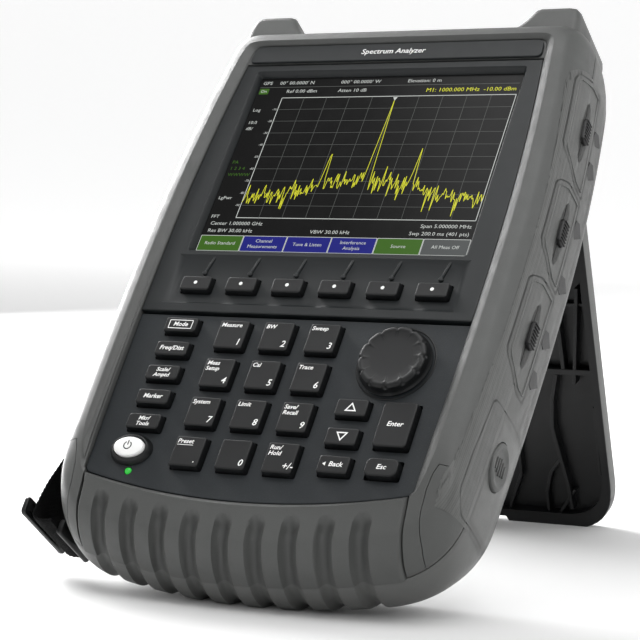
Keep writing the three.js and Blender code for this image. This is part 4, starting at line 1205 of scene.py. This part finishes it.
def add_strap():
    along_count, across = 440, 44
    points, length = strap_line(along_count)
    rings = []
    for i, point in enumerate(points):
        before, after = Vector(points[max(0, i - 3)]), Vector(points[min(along_count, i + 3)])
        direction = (after - before).normalized()
        normal = Vector((direction.y, -direction.x))
        ring = []
        for face in (1, -1):
            for j in range(across + 1):
                u = j / across if face > 0 else 1 - j / across
                edge = min(u, 1 - u) * (STRAP_FRONT - STRAP_BACK)
                half = STRAP_THICKNESS / 2 * min(1, 0.35 + edge / 1.4)
                weave = 0.12 * (1 if (i // 2 + j // 2) % 2 else -1)
                offset = face * (half + weave - 0.1)
                z = STRAP_BACK + (STRAP_FRONT - STRAP_BACK) * u
                ring.append((point[0] + normal.x * offset, point[1] + normal.y * offset, z))
        rings.append(ring)
    strap = rings_solid(Shape(), rings, "webbing")
    piece = finish_piece("webbing_strap", strap.mesh("strap"), "root", ["hand_strap"], sharp=60)
    for side in ("upper", "lower"):
        low, high = device_box(f"{side}_strap_anchor")
        anchor = slab(Shape(), outline_of(low, high, 1.4), low[2], high[2], "black", low_round=0.8,
            high_round=0.8)
        finish_piece(f"{side}_anchor", anchor.mesh("anchor"), "root", [f"{side}_strap_anchor"])
    matrix = Matrix.Translation((-106.8, -179, 0)) @ Matrix.Rotation(math.radians(3), 4, "Z")
    plate = prism_x(rounded_rectangle(0, -27.5, 8.4, 38, 2.0, 5), -2.2, 0, "black", low_round=0.5,
        high_round=0.7)
    slots = [("DIFFERENCE", prism_x(rounded_rectangle(y, -27.5, 1.8, 31, 0.8, 3), *reach, "black"))
        for y in (1.9, -1.9) for reach in ((-0.7, 6), (-6, -1.5))]
    mesh = carve(plate, *slots)
    finish_piece("buckle", moved(as_shape(mesh, "black"), matrix).mesh("buckle"), "root",
        ["strap_buckle"])


def add_stand():
    half, outer, inner, web, wall = 66, -5, 2.6, 2.4, 4
    low, high = device_box("stand_pin")
    opened = Matrix.Rotation(math.radians(STAND_OPEN), 4, "X")
    place = Matrix.Translation((0, HINGE_Y, HINGE_Z)) @ opened @ Matrix.Rotation(math.pi, 4, "Z")
    into = place.inverted() @ TO_DEVICE
    foot = max((into @ v.co).y for v in frame["nodes"]["stand"].data.vertices) + 0.3
    outline = [(-half, 2), (half, 2), *bezier((half, foot - 26), (half, foot), (half - 26, foot), 12),
        (9.5, foot), (7.5, foot - 4), (-7.5, foot - 4), (-9.5, foot),
        *bezier((26 - half, foot), (-half, foot), (-half, foot - 26), 12)]
    plate = slab(Shape(), outline, outer, inner, "black", low_round=0.9, high_round=0.5)
    side, floor_y = half - wall, foot - 4 - wall
    room = [(-side, 9), (side, 9), *bezier((side, floor_y - 22), (side, floor_y), (side - 22, floor_y), 12),
            *bezier((22 - side, floor_y), (-side, floor_y), (-side, floor_y - 22), 12)]
    barrel = prism_x(ellipse(0, 0, 4.6, 4.6, 48), -half, half, "black", low_round=0.4, high_round=0.4)
    bore = prism_x(ellipse(0, 0, 2.4, 2.4, 32), -half - 2, half + 2, "black")
    mesh = carve(plate, ("DIFFERENCE", slab(Shape(), room, outer + web, inner + 2, "black")), ("UNION", barrel),
        ("DIFFERENCE", bore))
    whole = as_shape(mesh, "black")
    # The stand's end faces take the lighter shell colour: a painted highlight for its lit edge.
    for k, polygon in enumerate(mesh.polygons):
        if abs(polygon.normal.x) > 0.7 and abs(polygon.center.x) > half - 1:
            whole.looks[k] = "shell"

    def rib(points, width=1.8, top=inner - 0.3):
        for sign in (1, -1):
            slab(whole, ribbon([(sign * x, y) for x, y in points], width), outer + web - 0.5, top, "black",
                high_round=0.3, steps=2)

    for y, width, top in [(120.5, 3.0, inner - 0.2), (86, 1.6, inner - 2.4), (44, 2.2, inner - 0.8)]:
        bar = ribbon([(-side - 0.5, y), (side + 0.5, y)], width)
        slab(whole, bar, outer + web - 0.5, top, "black", high_round=0.3, steps=2)
    rib([(48, 9), (48, 119)], 2.0)
    rib([(18, 9), (18, 119)], 2.0, inner - 1.2)
    rib([(59.6, 76.8), (52.9, 126.6)])
    rib([(44, 122), (40.2, 136), (38.6, 150.7), (40.9, 166.7), (43.4, 182), (44.1, 195)])
    rib([(61.8, 138.7), (60.9, 175)], 1.4)
    rib([(40.8, 167.8), (34.5, 176), (31.1, 187), (30.9, floor_y)], 1.6, inner - 1.4)
    rib([(46.2, 184.8), (36.8, floor_y + 0.5)], 1.6, inner - 1.4)
    rib([(18.3, 178), (9.5, floor_y)], 1.6, inner - 1.4)
    rib([(20, 122), (18.3, 178)], 1.6, inner - 1.4)
    finish_piece("kickstand", moved(whole, place).mesh("stand"), "stand", ["stand"])
    pin = prism_x(ellipse(HINGE_Y, HINGE_Z, 2, 2, 32), low[0], high[0], "steel", low_round=0.5, high_round=0.5)
    finish_piece("hinge_pin", pin.mesh("pin"), "root", ["stand_pin"])


# ------------------------------------------------------------------ inside
def add_inside():
    def boxed(name, node, look, corner=1.0, extras=None):
        low, high = device_box(node)
        shape = slab(Shape(), outline_of(low, high, corner, 3), low[2], high[2], look, low_round=0.3,
            high_round=0.3, steps=2)
        if extras:
            extras(shape, low, high)
        finish_piece(name, shape.mesh(name), "root", [node])

    def chips(shape, low, high):
        for _ in range(14):
            x = random_source.uniform(low[0] + 10, high[0] - 10)
            y = random_source.uniform(low[1] + 8, high[1] - 8)
            size = random_source.uniform(3, 8)
            slab(shape, rounded_rectangle(x, y, size, size, 0.3, 2), low[2] - random_source.uniform(0.6, 1.2),
                low[2] + 0.1, "socket")

    def lid(shape, low, high):
        slab(shape, rounded_rectangle((low[0] + high[0]) / 2, (low[1] + high[1]) / 2, (high[0] - low[0]) * 0.86,
            (high[1] - low[1]) * 0.8, 2, 3), low[2] - 0.4, low[2] + 0.1, "shield", low_round=0.2, steps=2)

    boxed("display_module", "lcd_panel", "black")
    boxed("logic_board", "main_board", "board", extras=chips)
    boxed("tuner_module", "rf_module", "shield", extras=lid)
    boxed("battery", "battery_pack", "black", corner=2)
    x, y, _ = middle_of("knob")
    low, high = device_box("keypad_board")
    board = slab(Shape(), [(low[0], low[1]), (high[0], low[1]), (high[0], high[1]), (low[0], high[1])], low[2],
        high[2], "board")
    mesh = carve(board, ("DIFFERENCE", slab(Shape(), ellipse(x, y, 3.8, 3.8, 32), -20, 5, "board")))
    finish_piece("switch_board", mesh, "root", ["keypad_board"])
    shaft = slab(Shape(), rounded_rectangle(x, y, 14, 14, 1, 3), -14, -6.9, "steel", low_round=0.3,
        high_round=0.3, steps=2)
    lathed(shaft, [(3, -8), (3, 5.5), (2.6, 5.9), (0.2, 5.9)], x, y, "steel", 32)
    finish_piece("shaft", shaft.mesh("shaft"), "root", ["encoder"])


KEYPAD_KEYS = [name for name in frame["nodes"] if name.startswith(("function_key_", "key_")) or name in (
    "up_key", "down_key", "enter_key", "back_key", "escape_key")]

add_camera()
add_surroundings()
add_front()
add_grip()
add_rear()
add_bezel()
add_keypad(KEYPAD_KEYS)
add_keys()
add_power()
add_knob()
add_screen()
add_side()
add_doors()
add_battery_door()
add_ports()
add_strap()
add_stand()
add_inside()
